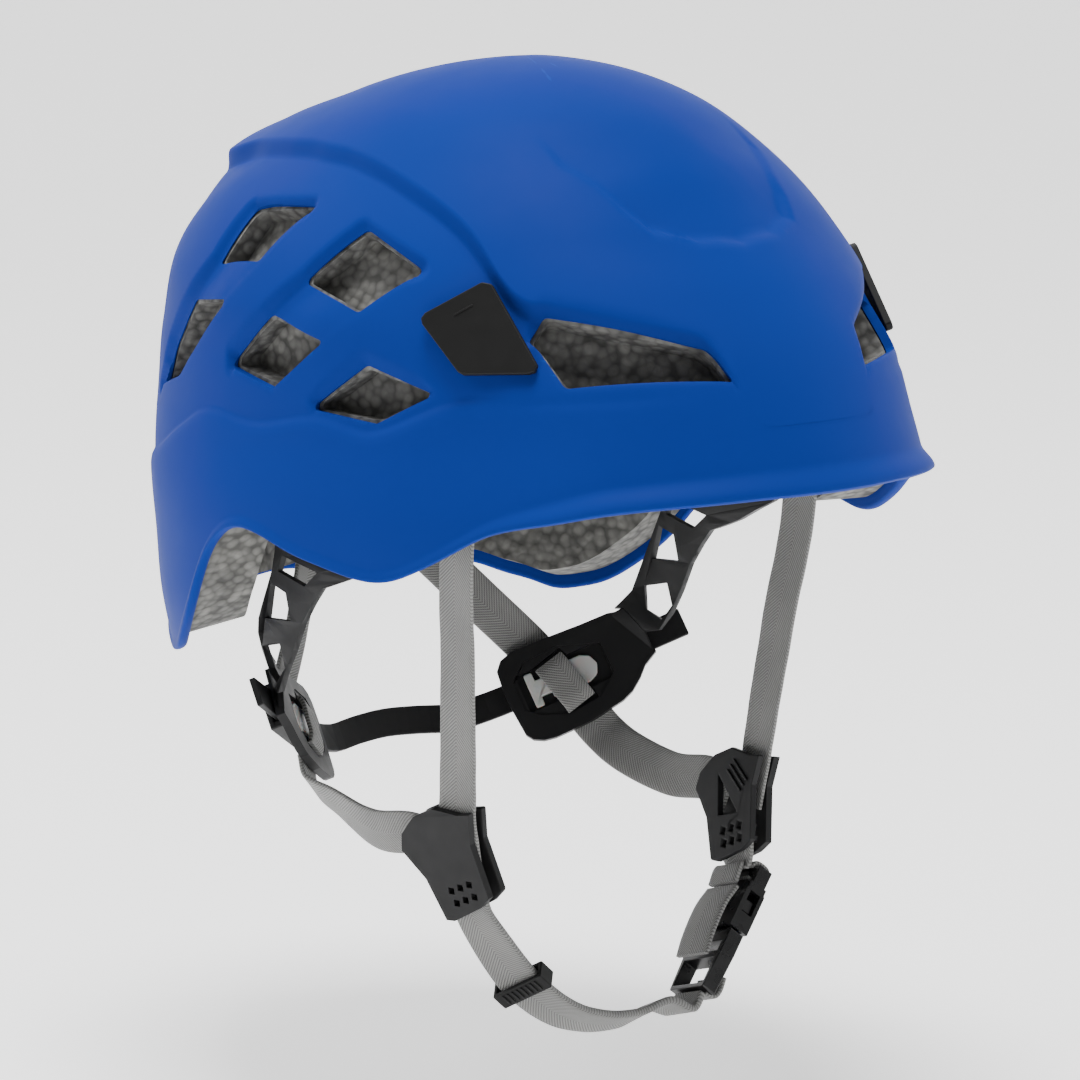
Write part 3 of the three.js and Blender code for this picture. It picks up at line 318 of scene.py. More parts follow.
def seg_signed(P2, line):
    """Distance from 2D points to an open line, negative on its inner side (towards x=0)."""
    best = np.full(len(P2), 1e9)
    for a, b in zip(line[:-1], line[1:]):
        t = np.clip(((P2 - a) @ (b - a)) / ((b - a) @ (b - a)), 0, 1)
        best = np.minimum(best, np.linalg.norm(P2 - (a + t[:, None] * (b - a)), axis=-1))
    n = len(line)
    inside = np.zeros(len(P2), bool)
    loop = np.vstack([line, [[line[-1][0], 200], [line[0][0], 200]]])
    for i in range(len(loop)):
        a, b = loop[i], loop[(i + 1) % len(loop)]
        cross = (a[1] > P2[:, 1]) != (b[1] > P2[:, 1])
        with np.errstate(divide="ignore", invalid="ignore"):
            xi = (b[0] - a[0]) * (P2[:, 1] - a[1]) / (b[1] - a[1]) + a[0]
        inside ^= cross & (P2[:, 0] < xi)
    return np.where(inside, -best, best)


def shell_detail(th, ps, P):
    """Extra depth of the shell's outer face: vent slopes, the crown's U step, the belt crease."""
    d = np.zeros(P.shape[:-1])
    for v in VENT_LIST:
        d = np.maximum(d, v.slope(P))
    top = P[..., 2] > 85
    s = np.full(P.shape[:-1], 99.0)
    s[top] = seg_signed(P[top][:, :2], U_SYM)
    fade = 1 - 0.6 * smooth(-86, -68, P[..., 1]) - 0.4 * smooth(-62, -38, P[..., 1])
    d += np.where(top, fade * 2.4 * smooth(-0.9, 2.4, -s) * (1 - smooth(5.0, 38.0, -s)), 0)
    a = np.abs(th)
    b0 = belt_psi(a)
    crease = np.exp(-((ps - b0 - 1.0) / 0.8) ** 2) * 0.35 * smooth(14, 30, a)
    # overhang of the crown at the rear corner, with a notch below it
    r0 = ridge_psi(a)
    rear = smooth(128, 142, a) * (1 - smooth(158, 170, a))
    step = _sm(r0, r0 + 1.6, ps) * (1 - _sm(r0 + 8, r0 + 16, ps))
    d += crease + rear * 1.1 * step
    return d


# ---- mesh helpers ------------------------------------------------------------------
def mesh_object(name, verts_mm, faces, smooth_shade=True, angle=None):
    me = bpy.data.meshes.new(name)
    me.from_pydata((np.asarray(verts_mm, float) * MM).tolist(), [], faces)
    me.validate()
    me.update()
    o = bpy.data.objects.new(name, me)
    bpy.context.scene.collection.objects.link(o)
    if smooth_shade:
        me.polygons.foreach_set("use_smooth", [True] * len(me.polygons))
        if angle:
            me.set_sharp_from_angle(angle=math.radians(angle))
    return o


def outward(o):
    bm = bmesh.new()
    bm.from_mesh(o.data)
    bmesh.ops.recalc_face_normals(bm, faces=bm.faces)
    bm.to_mesh(o.data)
    bm.free()
    return o


def apply_modifiers(o):
    dg = bpy.context.evaluated_depsgraph_get()
    me = bpy.data.meshes.new_from_object(o.evaluated_get(dg))
    o.modifiers.clear()
    old = o.data
    o.data = me
    bpy.data.meshes.remove(old)
    return o


def drop(o):
    me = o.data
    bpy.data.objects.remove(o)
    bpy.data.meshes.remove(me)


def cut_by(o, tools):
    for t in tools:
        m = o.modifiers.new("cut", "BOOLEAN")
        m.operation, m.object = "DIFFERENCE", t
        m.solver = "MANIFOLD" if "MANIFOLD" in [i.identifier for i in m.bl_rna.properties["solver"].enum_items] else "EXACT"
    apply_modifiers(o)
    return o


def grid_wall(name, ths, rows, outer, inner, rim_round=True):
    """A closed wall all the way round. rows is (columns, rows) of polar angles that start at 0 or at a fixed edge."""
    TH = np.repeat(np.asarray(ths, float)[:, None], rows.shape[1], 1)
    O, I = at(TH, rows, outer), at(TH, rows, inner)
    nc, nr = rows.shape
    apex = rows[0, 0] == 0
    layers = [O]
    if rim_round:                      # a half-round nose between the two faces at the rim
        a, b = O[:, -1], I[:, -1]
        mid, half = (a + b) / 2, (a - b) / 2
        down = unit(O[:, -1] - O[:, -2])
        nose = [mid + half * math.cos(f) + down * np.linalg.norm(half, axis=-1, keepdims=True) * 0.55 * math.sin(f) for f in np.linspace(0, math.pi, 7)[1:-1]]
    else:
        nose = []
    prof = [O[:, j] for j in range(nr)] + nose + [I[:, j] for j in range(nr - 1, -1, -1)]
    P = np.stack(prof, 1)              # (columns, profile points, 3)
    npf = P.shape[1]
    verts, faces = P.reshape(-1, 3).tolist(), []
    idx = np.arange(nc * npf).reshape(nc, npf)
    if apex:
        idx[:, 0] = idx[0, 0]
        idx[:, -1] = idx[0, -1]
    for i in range(nc):
        k = (i + 1) % nc
        for j in range(npf - 1):
            q = [idx[i, j], idx[i, j + 1], idx[k, j + 1], idx[k, j]]
            q = [int(v) for n_, v in enumerate(q) if v not in q[:n_]]
            if len(q) > 2:
                faces.append(q)
        if not apex:
            faces.append([int(idx[i, -1]), int(idx[i, 0]), int(idx[k, 0]), int(idx[k, -1])])
    used = sorted({v for f in faces for v in f})
    remap = {v: n_ for n_, v in enumerate(used)}
    o = mesh_object(name, np.array(verts)[used], [[remap[v] for v in f] for f in faces])
    return outward(o)


def prism_tool(name, poly, d0, d1, corner=1.6, grow=0.0):
    """A closed prism on an outline with rounded corners, along the outline's mean normal, from depth d0 to d1."""
    v = Vent(poly)
    q = v.q + unit(v.q) * grow
    pts = round_corners(q, corner)
    n = len(pts)
    P = [v.c + v.ex * x + v.ey * y for x, y in pts]
    # the plane leans with the outline, so each point keeps its own distance along the normal
    zs = idw(pts, v.q, (v.p - v.c) @ v.n)
    V3 = [p + v.n * (z - d0) for p, z in zip(P, zs)] + [p + v.n * (z - d1) for p, z in zip(P, zs)]
    faces = [list(range(n)), list(range(2 * n - 1, n - 1, -1))] + [[i, i + n, (i + 1) % n + n, (i + 1) % n] for i in range(n)]
    return outward(mesh_object(name, V3, faces, smooth_shade=False))


def idw(pts, ref, val):
    d = np.linalg.norm(np.asarray(pts)[:, None] - ref[None], axis=-1) + 1e-6
    w = 1 / d ** 2
    return (w * val).sum(1) / w.sum(1)


def round_corners(q, r, steps=5):
    q = np.asarray(q, float)
    out, n = [], len(q)
    for i in range(n):
        p, a, b = q[i], q[i - 1], q[(i + 1) % n]
        la, lb = np.linalg.norm(a - p), np.linalg.norm(b - p)
        k = min(r, la * 0.45, lb * 0.45)
        s, e = p + (a - p) / la * k, p + (b - p) / lb * k
        for t in np.linspace(0, 1, steps):
            out.append((1 - t) ** 2 * s + 2 * t * (1 - t) * p + t * t * e)
    keep = [out[0]]
    for p in out[1:]:
        if np.linalg.norm(p - keep[-1]) > 0.05:
            keep.append(p)
    if np.linalg.norm(keep[0] - keep[-1]) < 0.05:
        keep.pop()
    return np.array(keep)


def catmull(points, n):
    """Centripetal curve through points, sampled evenly in parameter; returns points, tangents and parameter."""
    P = np.asarray(points, float)
    ext = np.vstack([2 * P[0] - P[1], P, 2 * P[-1] - P[-2]])
    out, m = [], len(P) - 1

    def ev(u):
        f = u * m
        k = min(m - 1, int(f))
        t = f - k
        p0, p1, p2, p3 = ext[k:k + 4]
        d0, d1, d2 = (max(1e-4, np.linalg.norm(b - a)) ** 0.5 for a, b in ((p0, p1), (p1, p2), (p2, p3)))
        t1 = ((p1 - p0) / d0 - (p2 - p0) / (d0 + d1) + (p2 - p1) / d1) * d1
        t2 = ((p2 - p1) / d1 - (p3 - p1) / (d1 + d2) + (p3 - p2) / d2) * d1
        c2, c3 = -3 * p1 + 3 * p2 - 2 * t1 - t2, 2 * p1 - 2 * p2 + t1 + t2
        return p1 + t1 * t + c2 * t * t + c3 * t ** 3

    us = np.linspace(0, 1, n + 1)
    pos = np.array([ev(u) for u in us])
    tan = np.array([unit(ev(min(1, u + 1e-4)) - ev(max(0, u - 1e-4))) for u in us])
    return pos, tan, us


def strap(name, rows, width, thick, steps, edge=0.45, crown=0.0, wave=0.0, seed=0):
    """A woven strap swept along rows of (x, y, z, width direction), with rounded selvages and UVs in metres."""
    rows = np.asarray(rows, float)
    pos, tan, us = catmull(rows[:, :3], steps)
    W = unit(rows[:, 3:])
    f = us * (len(rows) - 1)
    k = np.minimum(len(rows) - 2, f.astype(int))
    w = W[k] * (1 - (f - k))[:, None] + W[k + 1] * (f - k)[:, None]
    w = unit(w - tan * np.sum(w * tan, -1, keepdims=True))
    nn = unit(np.cross(tan, w))
    length = np.concatenate([[0], np.cumsum(np.linalg.norm(np.diff(pos, axis=0), axis=-1))])
    h, t = width / 2, thick / 2
    xs = np.concatenate([np.linspace(-h + edge, h - edge, 9)])
    prof = [(x, t * (1 + crown * (1 - (x / h) ** 2)), (x + h) / width) for x in xs]
    prof += [(h - edge * (1 - math.sin(a)), t * math.cos(a), 1.0) for a in np.linspace(0, math.pi, 5)[1:-1]]
    prof += [(x, -t * (1 + crown * (1 - (x / h) ** 2)), (x + h) / width) for x in xs[::-1]]
    prof += [(-h + edge * (1 - math.sin(a)), -t * math.cos(a), 0.0) for a in np.linspace(0, math.pi, 5)[1:-1]]
    n, m = len(pos), len(prof)
    rnd = np.random.RandomState(seed + 7)
    ph = rnd.rand(3) * 6.28
    verts = []
    for i in range(n):
        z = wave * (math.sin(length[i] * 0.21 + ph[0]) * 0.6 + math.sin(length[i] * 0.47 + ph[1]) * 0.4)
        for x, y, _ in prof:
            verts.append(pos[i] + w[i] * x + nn[i] * (y + z * (x / h) ** 2))
    faces, uvs = [], []
    for i in range(n - 1):
        for j in range(m):
            k2 = (j + 1) % m
            faces.append([i * m + j, i * m + k2, (i + 1) * m + k2, (i + 1) * m + j])
            va, vb = prof[j][2], prof[k2][2]
            uvs.append([(length[i], va), (length[i], vb), (length[i + 1], vb), (length[i + 1], va)])
    faces.append(list(range(m - 1, -1, -1)))
    uvs.append([(length[0], prof[j][2]) for j in range(m - 1, -1, -1)])
    e = (n - 1) * m
    faces.append([e + j for j in range(m)])
    uvs.append([(length[-1], prof[j][2]) for j in range(m)])
    me = bpy.data.meshes.new(name)
    me.from_pydata((np.array(verts) * MM).tolist(), [], faces)
    me.update()
    layer = me.uv_layers.new(name="UVMap")
    flat = np.array([(u * MM, v * width * MM) for face in uvs for u, v in face], np.float32)
    layer.data.foreach_set("uv", flat.ravel())
    me.polygons.foreach_set("use_smooth", [True] * len(me.polygons))
    o = bpy.data.objects.new(name, me)
    bpy.context.scene.collection.objects.link(o)
    outward(o)
    o.data.set_sharp_from_angle(angle=math.radians(70))
    return o


def plate(name, outline, holes, t0, t1, O, ex, ey, ez, bevel=0.5, corner=1.2, hole_corner=0.7, segs=3):
    """An extruded plate with rounded corners and bevelled edges, in the local frame (O, ex, ey, ez)."""
    bm = bmesh.new()
    loops = [round_corners(outline, corner)] + [round_corners(h, hole_corner) for h in holes]
    edges = []
    for lp in loops:
        vs = [bm.verts.new((x, y, t0)) for x, y in lp]
        edges += [bm.edges.new((vs[i], vs[(i + 1) % len(vs)])) for i in range(len(vs))]
    bmesh.ops.triangle_fill(bm, use_beauty=True, use_dissolve=False, edges=edges)
    geo = bmesh.ops.extrude_face_region(bm, geom=bm.faces[:])
    bmesh.ops.translate(bm, vec=(0, 0, t1 - t0), verts=[v for v in geo["geom"] if isinstance(v, bmesh.types.BMVert)])
    bmesh.ops.recalc_face_normals(bm, faces=bm.faces)
    bmesh.ops.dissolve_limit(bm, angle_limit=0.01, verts=bm.verts, edges=bm.edges)
    if bevel:
        rim = [e for e in bm.edges if len(e.link_faces) == 2 and e.calc_face_angle(0) > 1.0]
        bmesh.ops.bevel(bm, geom=rim, offset=bevel, segments=segs, profile=0.5, affect="EDGES", clamp_overlap=True)
    for v in bm.verts:
        x, y, z = v.co
        p = (np.asarray(O) + np.asarray(ex) * x + np.asarray(ey) * y + np.asarray(ez) * z) * MM
        v.co = Vector(p)
    bmesh.ops.recalc_face_normals(bm, faces=bm.faces)
    me = bpy.data.meshes.new(name)
    bm.to_mesh(me)
    bm.free()
    me.polygons.foreach_set("use_smooth", [True] * len(me.polygons))
    me.set_sharp_from_angle(angle=math.radians(35))
    o = bpy.data.objects.new(name, me)
    bpy.context.scene.collection.objects.link(o)
    return o


def join_objects(name, objs):
    """One object from several meshes; each keeps its own faces."""
    bm = bmesh.new()
    for o in objs:
        bm.from_mesh(o.data)
    me = bpy.data.meshes.new(name)
    bm.to_mesh(me)
    bm.free()
    for o in objs:
        drop(o)
    me.polygons.foreach_set("use_smooth", [True] * len(me.polygons))
    me.set_sharp_from_angle(angle=math.radians(35))
    out = bpy.data.objects.new(name, me)
    bpy.context.scene.collection.objects.link(out)
    return out


def mirrored(o, name):
    me = o.data.copy()
    out = bpy.data.objects.new(name, me)
    co = np.empty(len(me.vertices) * 3, np.float32)
    me.vertices.foreach_get("co", co)
    co = co.reshape(-1, 3)
    co[:, 0] *= -1
    me.vertices.foreach_set("co", co.ravel())
    me.flip_normals()
    me.update()
    bpy.context.scene.collection.objects.link(out)
    return out


# ---- materials ---------------------------------------------------------------------
class Mat:
    def __init__(self, name, rough=0.5, **fixed):
        self.m = bpy.data.materials.new(name)
        self.m.use_nodes = True
        self.t = self.m.node_tree
        self.b = self.t.nodes["Principled BSDF"]
        self.b.inputs["Roughness"].default_value = rough
        for k, v in fixed.items():
            self.b.inputs[k.replace("_", " ")].default_value = v

    def n(self, kind, **props):
        x = self.t.nodes.new(kind)
        for k, v in props.items():
            setattr(x, k, v)
        return x

    def link(self, a, b):
        self.t.links.new(a, b)

    def math(self, op, a, b=None, c=None):
        x = self.n("ShaderNodeMath", operation=op)
        for i, v in enumerate((a, b, c)):
            if v is None:
                continue
            if isinstance(v, (int, float)):
                x.inputs[i].default_value = v
            else:
                self.link(v, x.inputs[i])
        return x.outputs[0]

    def ramp(self, fac, stops):
        r = self.n("ShaderNodeValToRGB")
        cr = r.color_ramp
        while len(cr.elements) < len(stops):
            cr.elements.new(0.5)
        for e, (p, col) in zip(cr.elements, stops):
            e.position = p
            e.color = (*col, 1) if len(col) == 3 else col
        self.link(fac, r.inputs[0])
        return r.outputs[0]

    def noise(self, vec, scale, detail=3.0, rough=0.5):
        x = self.n("ShaderNodeTexNoise")
        x.inputs["Scale"].default_value = scale
        x.inputs["Detail"].default_value = detail
        x.inputs["Roughness"].default_value = rough
        if vec is not None:
            self.link(vec, x.inputs["Vector"])
        return x.outputs[0]

    def bump(self, height, strength, distance, prev=None):
        x = self.n("ShaderNodeBump")
        x.inputs["Strength"].default_value = strength
        x.inputs["Distance"].default_value = distance
        self.link(height, x.inputs["Height"])
        if prev is not None:
            self.link(prev, x.inputs["Normal"])
        return x.outputs[0]

    def obj(self):
        return self.n("ShaderNodeTexCoord").outputs["Object"]


def moulded(name, base, rough, grain=2600.0, depth=0.00004, var=0.12, **fixed):
    """Injection-moulded plastic: fine spark-eroded grain, slow colour drift, a painted highlight on convex edges."""
    m = Mat(name, rough, **fixed)
    co = m.obj()
    drift = m.noise(co, 38.0, 3)
    lo, hi = [c * (1 - var) for c in base], [min(1, c * (1 + var)) for c in base]
    col = m.ramp(drift, [(0.3, lo), (0.7, hi)])
    # convex edges, found by pointiness, are mixed towards a lighter colour: a painted highlight
    geo = m.n("ShaderNodeNewGeometry")
    edge = m.ramp(geo.outputs["Pointiness"], [(0.5, (0, 0, 0)), (0.62, (1, 1, 1))])
    mix = m.n("ShaderNodeMix", data_type="RGBA")
    m.link(m.math("MULTIPLY", edge, 0.35), mix.inputs["Factor"])
    m.link(col, mix.inputs["A"])
    mix.inputs["B"].default_value = (*[min(1, c * 1.9 + 0.008) for c in base], 1)
    m.link(mix.outputs["Result"], m.b.inputs["Base Color"])
    rr = m.noise(co, 160.0, 2)
    m.link(m.math("MULTIPLY_ADD", rr, 0.16, rough - 0.08), m.b.inputs["Roughness"])
    m.link(m.bump(m.noise(co, grain, 2, 0.6), 0.35, depth), m.b.inputs["Normal"])
    return m.m


def foam(name, base, bead, groove, seed=0.0):
    """Fused bead foam: pressed polyhedral beads with painted shade in the grooves between them and a slightly different
    grey each.
    """
    m = Mat(name, 0.86)
    co = m.obj()
    warp = m.n("ShaderNodeTexNoise")
    warp.inputs["Scale"].default_value = 150.0
    m.link(co, warp.inputs["Vector"])
    add = m.n("ShaderNodeVectorMath", operation="MULTIPLY_ADD")
    m.link(warp.outputs["Color"], add.inputs[0])
    add.inputs[1].default_value = (0.0022, 0.0022, 0.0022)
    m.link(co, add.inputs[2])
    vec = add.outputs[0]
    cell = m.n("ShaderNodeTexVoronoi", feature="SMOOTH_F1")
    cell.inputs["Scale"].default_value = 1 / bead
    cell.inputs["Randomness"].default_value = 0.8
    cell.inputs["Smoothness"].default_value = 0.35
    m.link(vec, cell.inputs["Vector"])
    sep = m.n("ShaderNodeSeparateColor")
    m.link(cell.outputs["Color"], sep.inputs[0])
    tone = m.ramp(sep.outputs[0], [(0.1, [c * 0.86 for c in base]), (0.55, base), (0.95, [min(1, c * 1.18) for c in base])])
    # the grooves between beads are darkened: painted shade
    groove_shade = m.ramp(cell.outputs["Distance"], [(0.30, (1, 1, 1)), (0.52, (0.62,) * 3), (0.72, (0, 0, 0))])
    mix = m.n("ShaderNodeMix", data_type="RGBA")
    m.link(groove_shade, mix.inputs["Factor"])
    mix.inputs["A"].default_value = (*[c * groove for c in base], 1)
    m.link(tone, mix.inputs["B"])
    blot = m.n("ShaderNodeMix", data_type="RGBA", blend_type="MULTIPLY")
    blot.inputs["Factor"].default_value = 1.0
    m.link(mix.outputs["Result"], blot.inputs["A"])
    m.link(m.ramp(m.noise(co, 120.0, 3), [(0.35, (0.72,) * 3), (0.65, (1.12, 1.12, 1.1))]), blot.inputs["B"])
    m.link(blot.outputs["Result"], m.b.inputs["Base Color"])
    n1 = m.bump(m.math("SUBTRACT", 1.0, cell.outputs["Distance"]), 0.8, bead * 0.3)
    n2 = m.bump(m.noise(co, 1500.0, 3), 0.35, 0.00012, n1)
    m.link(n2, m.b.inputs["Normal"])
    return m.m


def webbing(name, base, stitched=False):
    """Herringbone webbing: chevron columns along the strap, twisted yarn, painted shade in the gaps and a painted
    highlight on the yarn tops, and soft selvages.
    """
    m = Mat(name, 0.72, Sheen_Weight=0.22, Sheen_Roughness=0.45)
    uv = m.n("ShaderNodeUVMap", uv_map="UVMap").outputs[0]
    sep = m.n("ShaderNodeSeparateXYZ")
    m.link(uv, sep.inputs[0])
    u, v = sep.outputs[0], sep.outputs[1]
    zig = m.math("PINGPONG", v, 0.0075)                        # one chevron over 15 mm
    diag = m.math("ADD", m.math("MULTIPLY", u, 1.0), m.math("MULTIPLY", zig, 1.0))
    twill = m.math("SINE", m.math("MULTIPLY", diag, 2 * math.pi / 0.0012))
    yarn = m.math("SINE", m.math("MULTIPLY", v, 2 * math.pi / 0.00055))
    height = m.math("ADD", m.math("MULTIPLY", twill, 0.38), m.math("MULTIPLY_ADD", yarn, 0.12, 0.5))
    fibre = m.noise(m.obj(), 2400.0, 2)
    tot = m.math("ADD", m.math("MULTIPLY", height, 0.85), m.math("MULTIPLY", fibre, 0.15))
    # the colour follows the weave height: painted shade in the low gaps between yarns, painted highlight on the yarn
    # tops
    col = m.ramp(tot, [(0.1, [c * 0.38 for c in base]), (0.42, [c * 0.95 for c in base]), (0.85, [min(1, c * 1.42) for c in base])])
    drift = m.noise(m.obj(), 55.0, 2)
    mix = m.n("ShaderNodeMix", data_type="RGBA", blend_type="MULTIPLY")
    mix.inputs["Factor"].default_value = 1.0
    m.link(col, mix.inputs["A"])
    m.link(m.ramp(drift, [(0.3, (0.9, 0.9, 0.9)), (0.7, (1.05, 1.05, 1.04))]), mix.inputs["B"])
    m.link(mix.outputs["Result"], m.b.inputs["Base Color"])
    m.link(m.bump(tot, 0.7, 0.0003), m.b.inputs["Normal"])
    return m.m


def shell_material():
    m = Mat("shell_blue", 0.6, Specular_IOR_Level=0.035)
    co = m.obj()
    drift = m.noise(co, 9.0, 2)
    col = m.ramp(drift, [(0.3, (0.0062, 0.0270, 0.222)), (0.7, (0.0072, 0.0300, 0.240))])
    # convex edges, found by pointiness, are mixed towards a brighter blue: a painted highlight
    geo = m.n("ShaderNodeNewGeometry")
    edge = m.ramp(geo.outputs["Pointiness"], [(0.52, (0, 0, 0)), (0.62, (1, 1, 1))])
    mix = m.n("ShaderNodeMix", data_type="RGBA")
    m.link(m.math("MULTIPLY", edge, 0.28), mix.inputs["Factor"])
    m.link(col, mix.inputs["A"])
    mix.inputs["B"].default_value = (0.010, 0.082, 0.43, 1)
    m.link(mix.outputs["Result"], m.b.inputs["Base Color"])
    m.link(m.math("MULTIPLY_ADD", m.noise(co, 60.0, 2), 0.1, 0.50), m.b.inputs["Roughness"])
    peel = m.bump(m.noise(co, 420.0, 2), 0.12, 0.00012)
    m.link(m.bump(m.noise(co, 3200.0, 2), 0.3, 0.00003, peel), m.b.inputs["Normal"])
    return m.m


def pad_material():
    m = Mat("pad_knit", 0.92, Sheen_Weight=0.5, Sheen_Roughness=0.5)
    co = m.obj()
    w = m.n("ShaderNodeTexVoronoi", feature="F1")
    w.inputs["Scale"].default_value = 900.0
    m.link(co, w.inputs["Vector"])
    m.link(m.ramp(w.outputs["Distance"], [(0.0, (0.05, 0.052, 0.056)), (0.7, (0.018, 0.019, 0.021))]), m.b.inputs["Base Color"])
    m.link(m.bump(m.math("ADD", w.outputs["Distance"], m.noise(co, 260.0, 3)), 0.6, 0.0003), m.b.inputs["Normal"])
    return m.m


M_SHELL = shell_material()
M_EPP = foam("liner_epp_beads", (0.175, 0.173, 0.163), 0.0033, 0.42)
M_EPS = foam("liner_eps_beads", (0.22, 0.22, 0.205), 0.0029, 0.5)
M_PAD = pad_material()
M_BLACK = moulded("nylon_black", (0.0115, 0.0115, 0.012), 0.48, Specular_IOR_Level=0.2)
M_SOFT = moulded("divider_black", (0.0085, 0.0085, 0.009), 0.6, grain=3200.0, Specular_IOR_Level=0.25)
M_GLOSS = moulded("buckle_black_acetal", (0.007, 0.007, 0.0075), 0.28, depth=0.00002)
M_CLIP = moulded("clip_black_rubbery", (0.0055, 0.0055, 0.0055), 0.55, grain=2200.0, Specular_IOR_Level=0.22)
M_WHITE = moulded("pawl_white_acetal", (0.50, 0.50, 0.48), 0.26, depth=0.00001, var=0.03, Subsurface_Weight=0.35, Subsurface_Scale=0.004)
M_WEB = webbing("webbing_grey", (0.190, 0.190, 0.184))
M_THREAD = moulded("bar_tack_thread", (0.12, 0.12, 0.12), 0.7, grain=1500.0, depth=0.0001)


def finish_piece(o, body, slot, material, *nodes):
    o.data.materials.clear()
    o.data.materials.append(material)
    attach(o, body)
    if nodes:
        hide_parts(*nodes)
    return o


# ---- shell and liner ---------------------------------------------------------------
FINE = 1
TH = np.linspace(-180, 180, 720 // FINE, endpoint=False) + 0.25


def shell_rows(th, n_top, n_side, n_low):
    out = []
    for t in th:
        r, m = float(ridge_psi(t)), float(rim_psi(t))
        b = max(float(belt_psi(t)), r + 4)
        out.append(np.concatenate([
            np.linspace(0, r - 0.5, n_top, endpoint=False),
            np.linspace(r - 0.5, r + 3.4, 12, endpoint=False),
            np.linspace(r + 3.4, b - 1.0, n_side, endpoint=False),
            np.linspace(b - 1.0, b + 2.2, 8, endpoint=False),
            np.linspace(b + 2.2, max(m - 3.6, b + 2.6), n_low, endpoint=False),
            np.linspace(max(m - 3.6, b + 2.6), m, 12),
        ]))
    return np.array(out)


rows = shell_rows(TH, 70 // FINE, 64 // FINE, 30 // FINE)
TT = np.repeat(TH[:, None], rows.shape[1], 1)
base = recess(TT, rows)
outer = base + flare(TT, rows) + shell_detail(TT, rows, hull(TT, rows))
inner = base + SHELL_T + 0.35 * flare(TT, rows)
outer = np.minimum(outer, inner - 0.35)
shell = grid_wall("helmet_shell", TH, rows, outer, inner)
ALL_VENTS = list(VENTS.values()) + [[[-x, y, z] for x, y, z in v][::-1] for v in VENTS.values()]
tools = [prism_tool(f"t{i}", v, -14, 12) for i, v in enumerate(ALL_VENTS)]
clip_n = unit(np.array([-0.786, -0.52, 0.333]))
CLIP = np.array([[-93.5, -49.3, 85.6], [-92.5, -50.1, 87.4], [-79.6, -62.5, 97.0], [-78.0, -65.1, 96.5], [-76.0, -83.8, 73.0], [-77.0, -83.6, 70.9], [-78.4, -82.0, 70.3], [-89.7, -64.8, 69.3], [-90.4, -63.1, 70.1], [-93.7, -50.1, 84.0]])
clip_c = CLIP.mean(0)
clip_x = unit(np.array([0, 0, 1.0]) - clip_n * clip_n[2])
clip_y = np.cross(clip_n, clip_x)
foot_at = np.array([-85.4, -60, 87.5]) - clip_c
top_edge = np.array([0.622, -0.609, 0.489])
turn = math.atan2(top_edge @ clip_y, top_edge @ clip_x)
fx, fy = foot_at @ clip_x, foot_at @ clip_y


def box_tool(name, size, centre, turn_, O, ex, ey, ez):
    c, s = math.cos(turn_), math.sin(turn_)
    V3 = []
    for k in (-1, 1):
        for i, j in ((-1, -1), (1, -1), (1, 1), (-1, 1)):
            x, y = i * size[0] / 2, j * size[1] / 2
            V3.append(O + ex * (centre[0] + c * x - s * y) + ey * (centre[1] + s * x + c * y) + ez * (centre[2] + k * size[2] / 2))
    return outward(mesh_object(name, V3, [[0, 1, 2, 3], [4, 5, 6, 7], [0, 1, 5, 4], [1, 2, 6, 5], [2, 3, 7, 6], [3, 0, 4, 7]], smooth_shade=False))


slot_r = box_tool("slot_r", (11.2, 5.2, 16), (fx, fy, -4), turn, clip_c, clip_x, clip_y, clip_n)
slot_l = mirrored(slot_r, "slot_l")
cut_by(shell, tools + [slot_r, slot_l])
shell.data.polygons.foreach_set("use_smooth", [True] * len(shell.data.polygons))
shell.data.set_sharp_from_angle(angle=math.radians(38))
finish_piece(shell, "shell_assembly", "shell_abs", M_SHELL, "shell")

TL = np.linspace(-180, 180, 480 // FINE, endpoint=False) + 0.37
lr = []
for t in TL:
    r, m = float(ridge_psi(t)), float(rim_psi(t)) - RIM_SETBACK
    b = max(float(belt_psi(t)), r + 4)
    lr.append(np.concatenate([np.linspace(LINER_SPLIT + 0.25, r + 0.2, 14, endpoint=False) if r > LINER_SPLIT + 0.8 else np.linspace(LINER_SPLIT + 0.25, LINER_SPLIT + 0.9, 14, endpoint=False), np.linspace(max(r + 0.2, LINER_SPLIT + 0.9), b, 46 // FINE, endpoint=False), np.linspace(b, m - 1.4, 26 // FINE, endpoint=False), np.linspace(m - 1.4, m, 6)]))
lr = np.array(lr)
LT = np.repeat(TL[:, None], lr.shape[1], 1)
side = grid_wall("foam_side", TL, lr, recess(LT, lr) + SHELL_T + GAP + 0.1, np.full(lr.shape, LINER_IN - 0.1), rim_round=False)
pockets = [prism_tool(f"p{i}", v, -14, SHELL_T + POCKET, corner=2.6, grow=-1.3) for i, v in enumerate(ALL_VENTS)]
cut_by(side, pockets + [slot_r, slot_l])
side.data.polygons.foreach_set("use_smooth", [True] * len(side.data.polygons))
side.data.set_sharp_from_angle(angle=math.radians(32))
bev = side.modifiers.new("soft", "BEVEL")
bev.width, bev.segments, bev.limit_method, bev.angle_limit = 0.0009, 3, "ANGLE", math.radians(50)
finish_piece(side, "shell_assembly", "liner_epp", M_EPP, "side_liner")

TC = np.linspace(-180, 180, 240, endpoint=False) + 0.37
cr = np.repeat(np.linspace(0, LINER_SPLIT - 0.1, 40)[None], len(TC), 0)
CT = np.repeat(TC[:, None], cr.shape[1], 1)
crown = grid_wall("foam_crown", TC, cr, recess(CT, cr) + SHELL_T + GAP + 0.1, np.full(cr.shape, LINER_IN - 0.1), rim_round=False)
crown.data.set_sharp_from_angle(angle=math.radians(40))
finish_piece(crown, "shell_assembly", "liner_eps", M_EPS, "crown_liner")
for t in tools + pockets + [slot_r, slot_l]:
    drop(t)


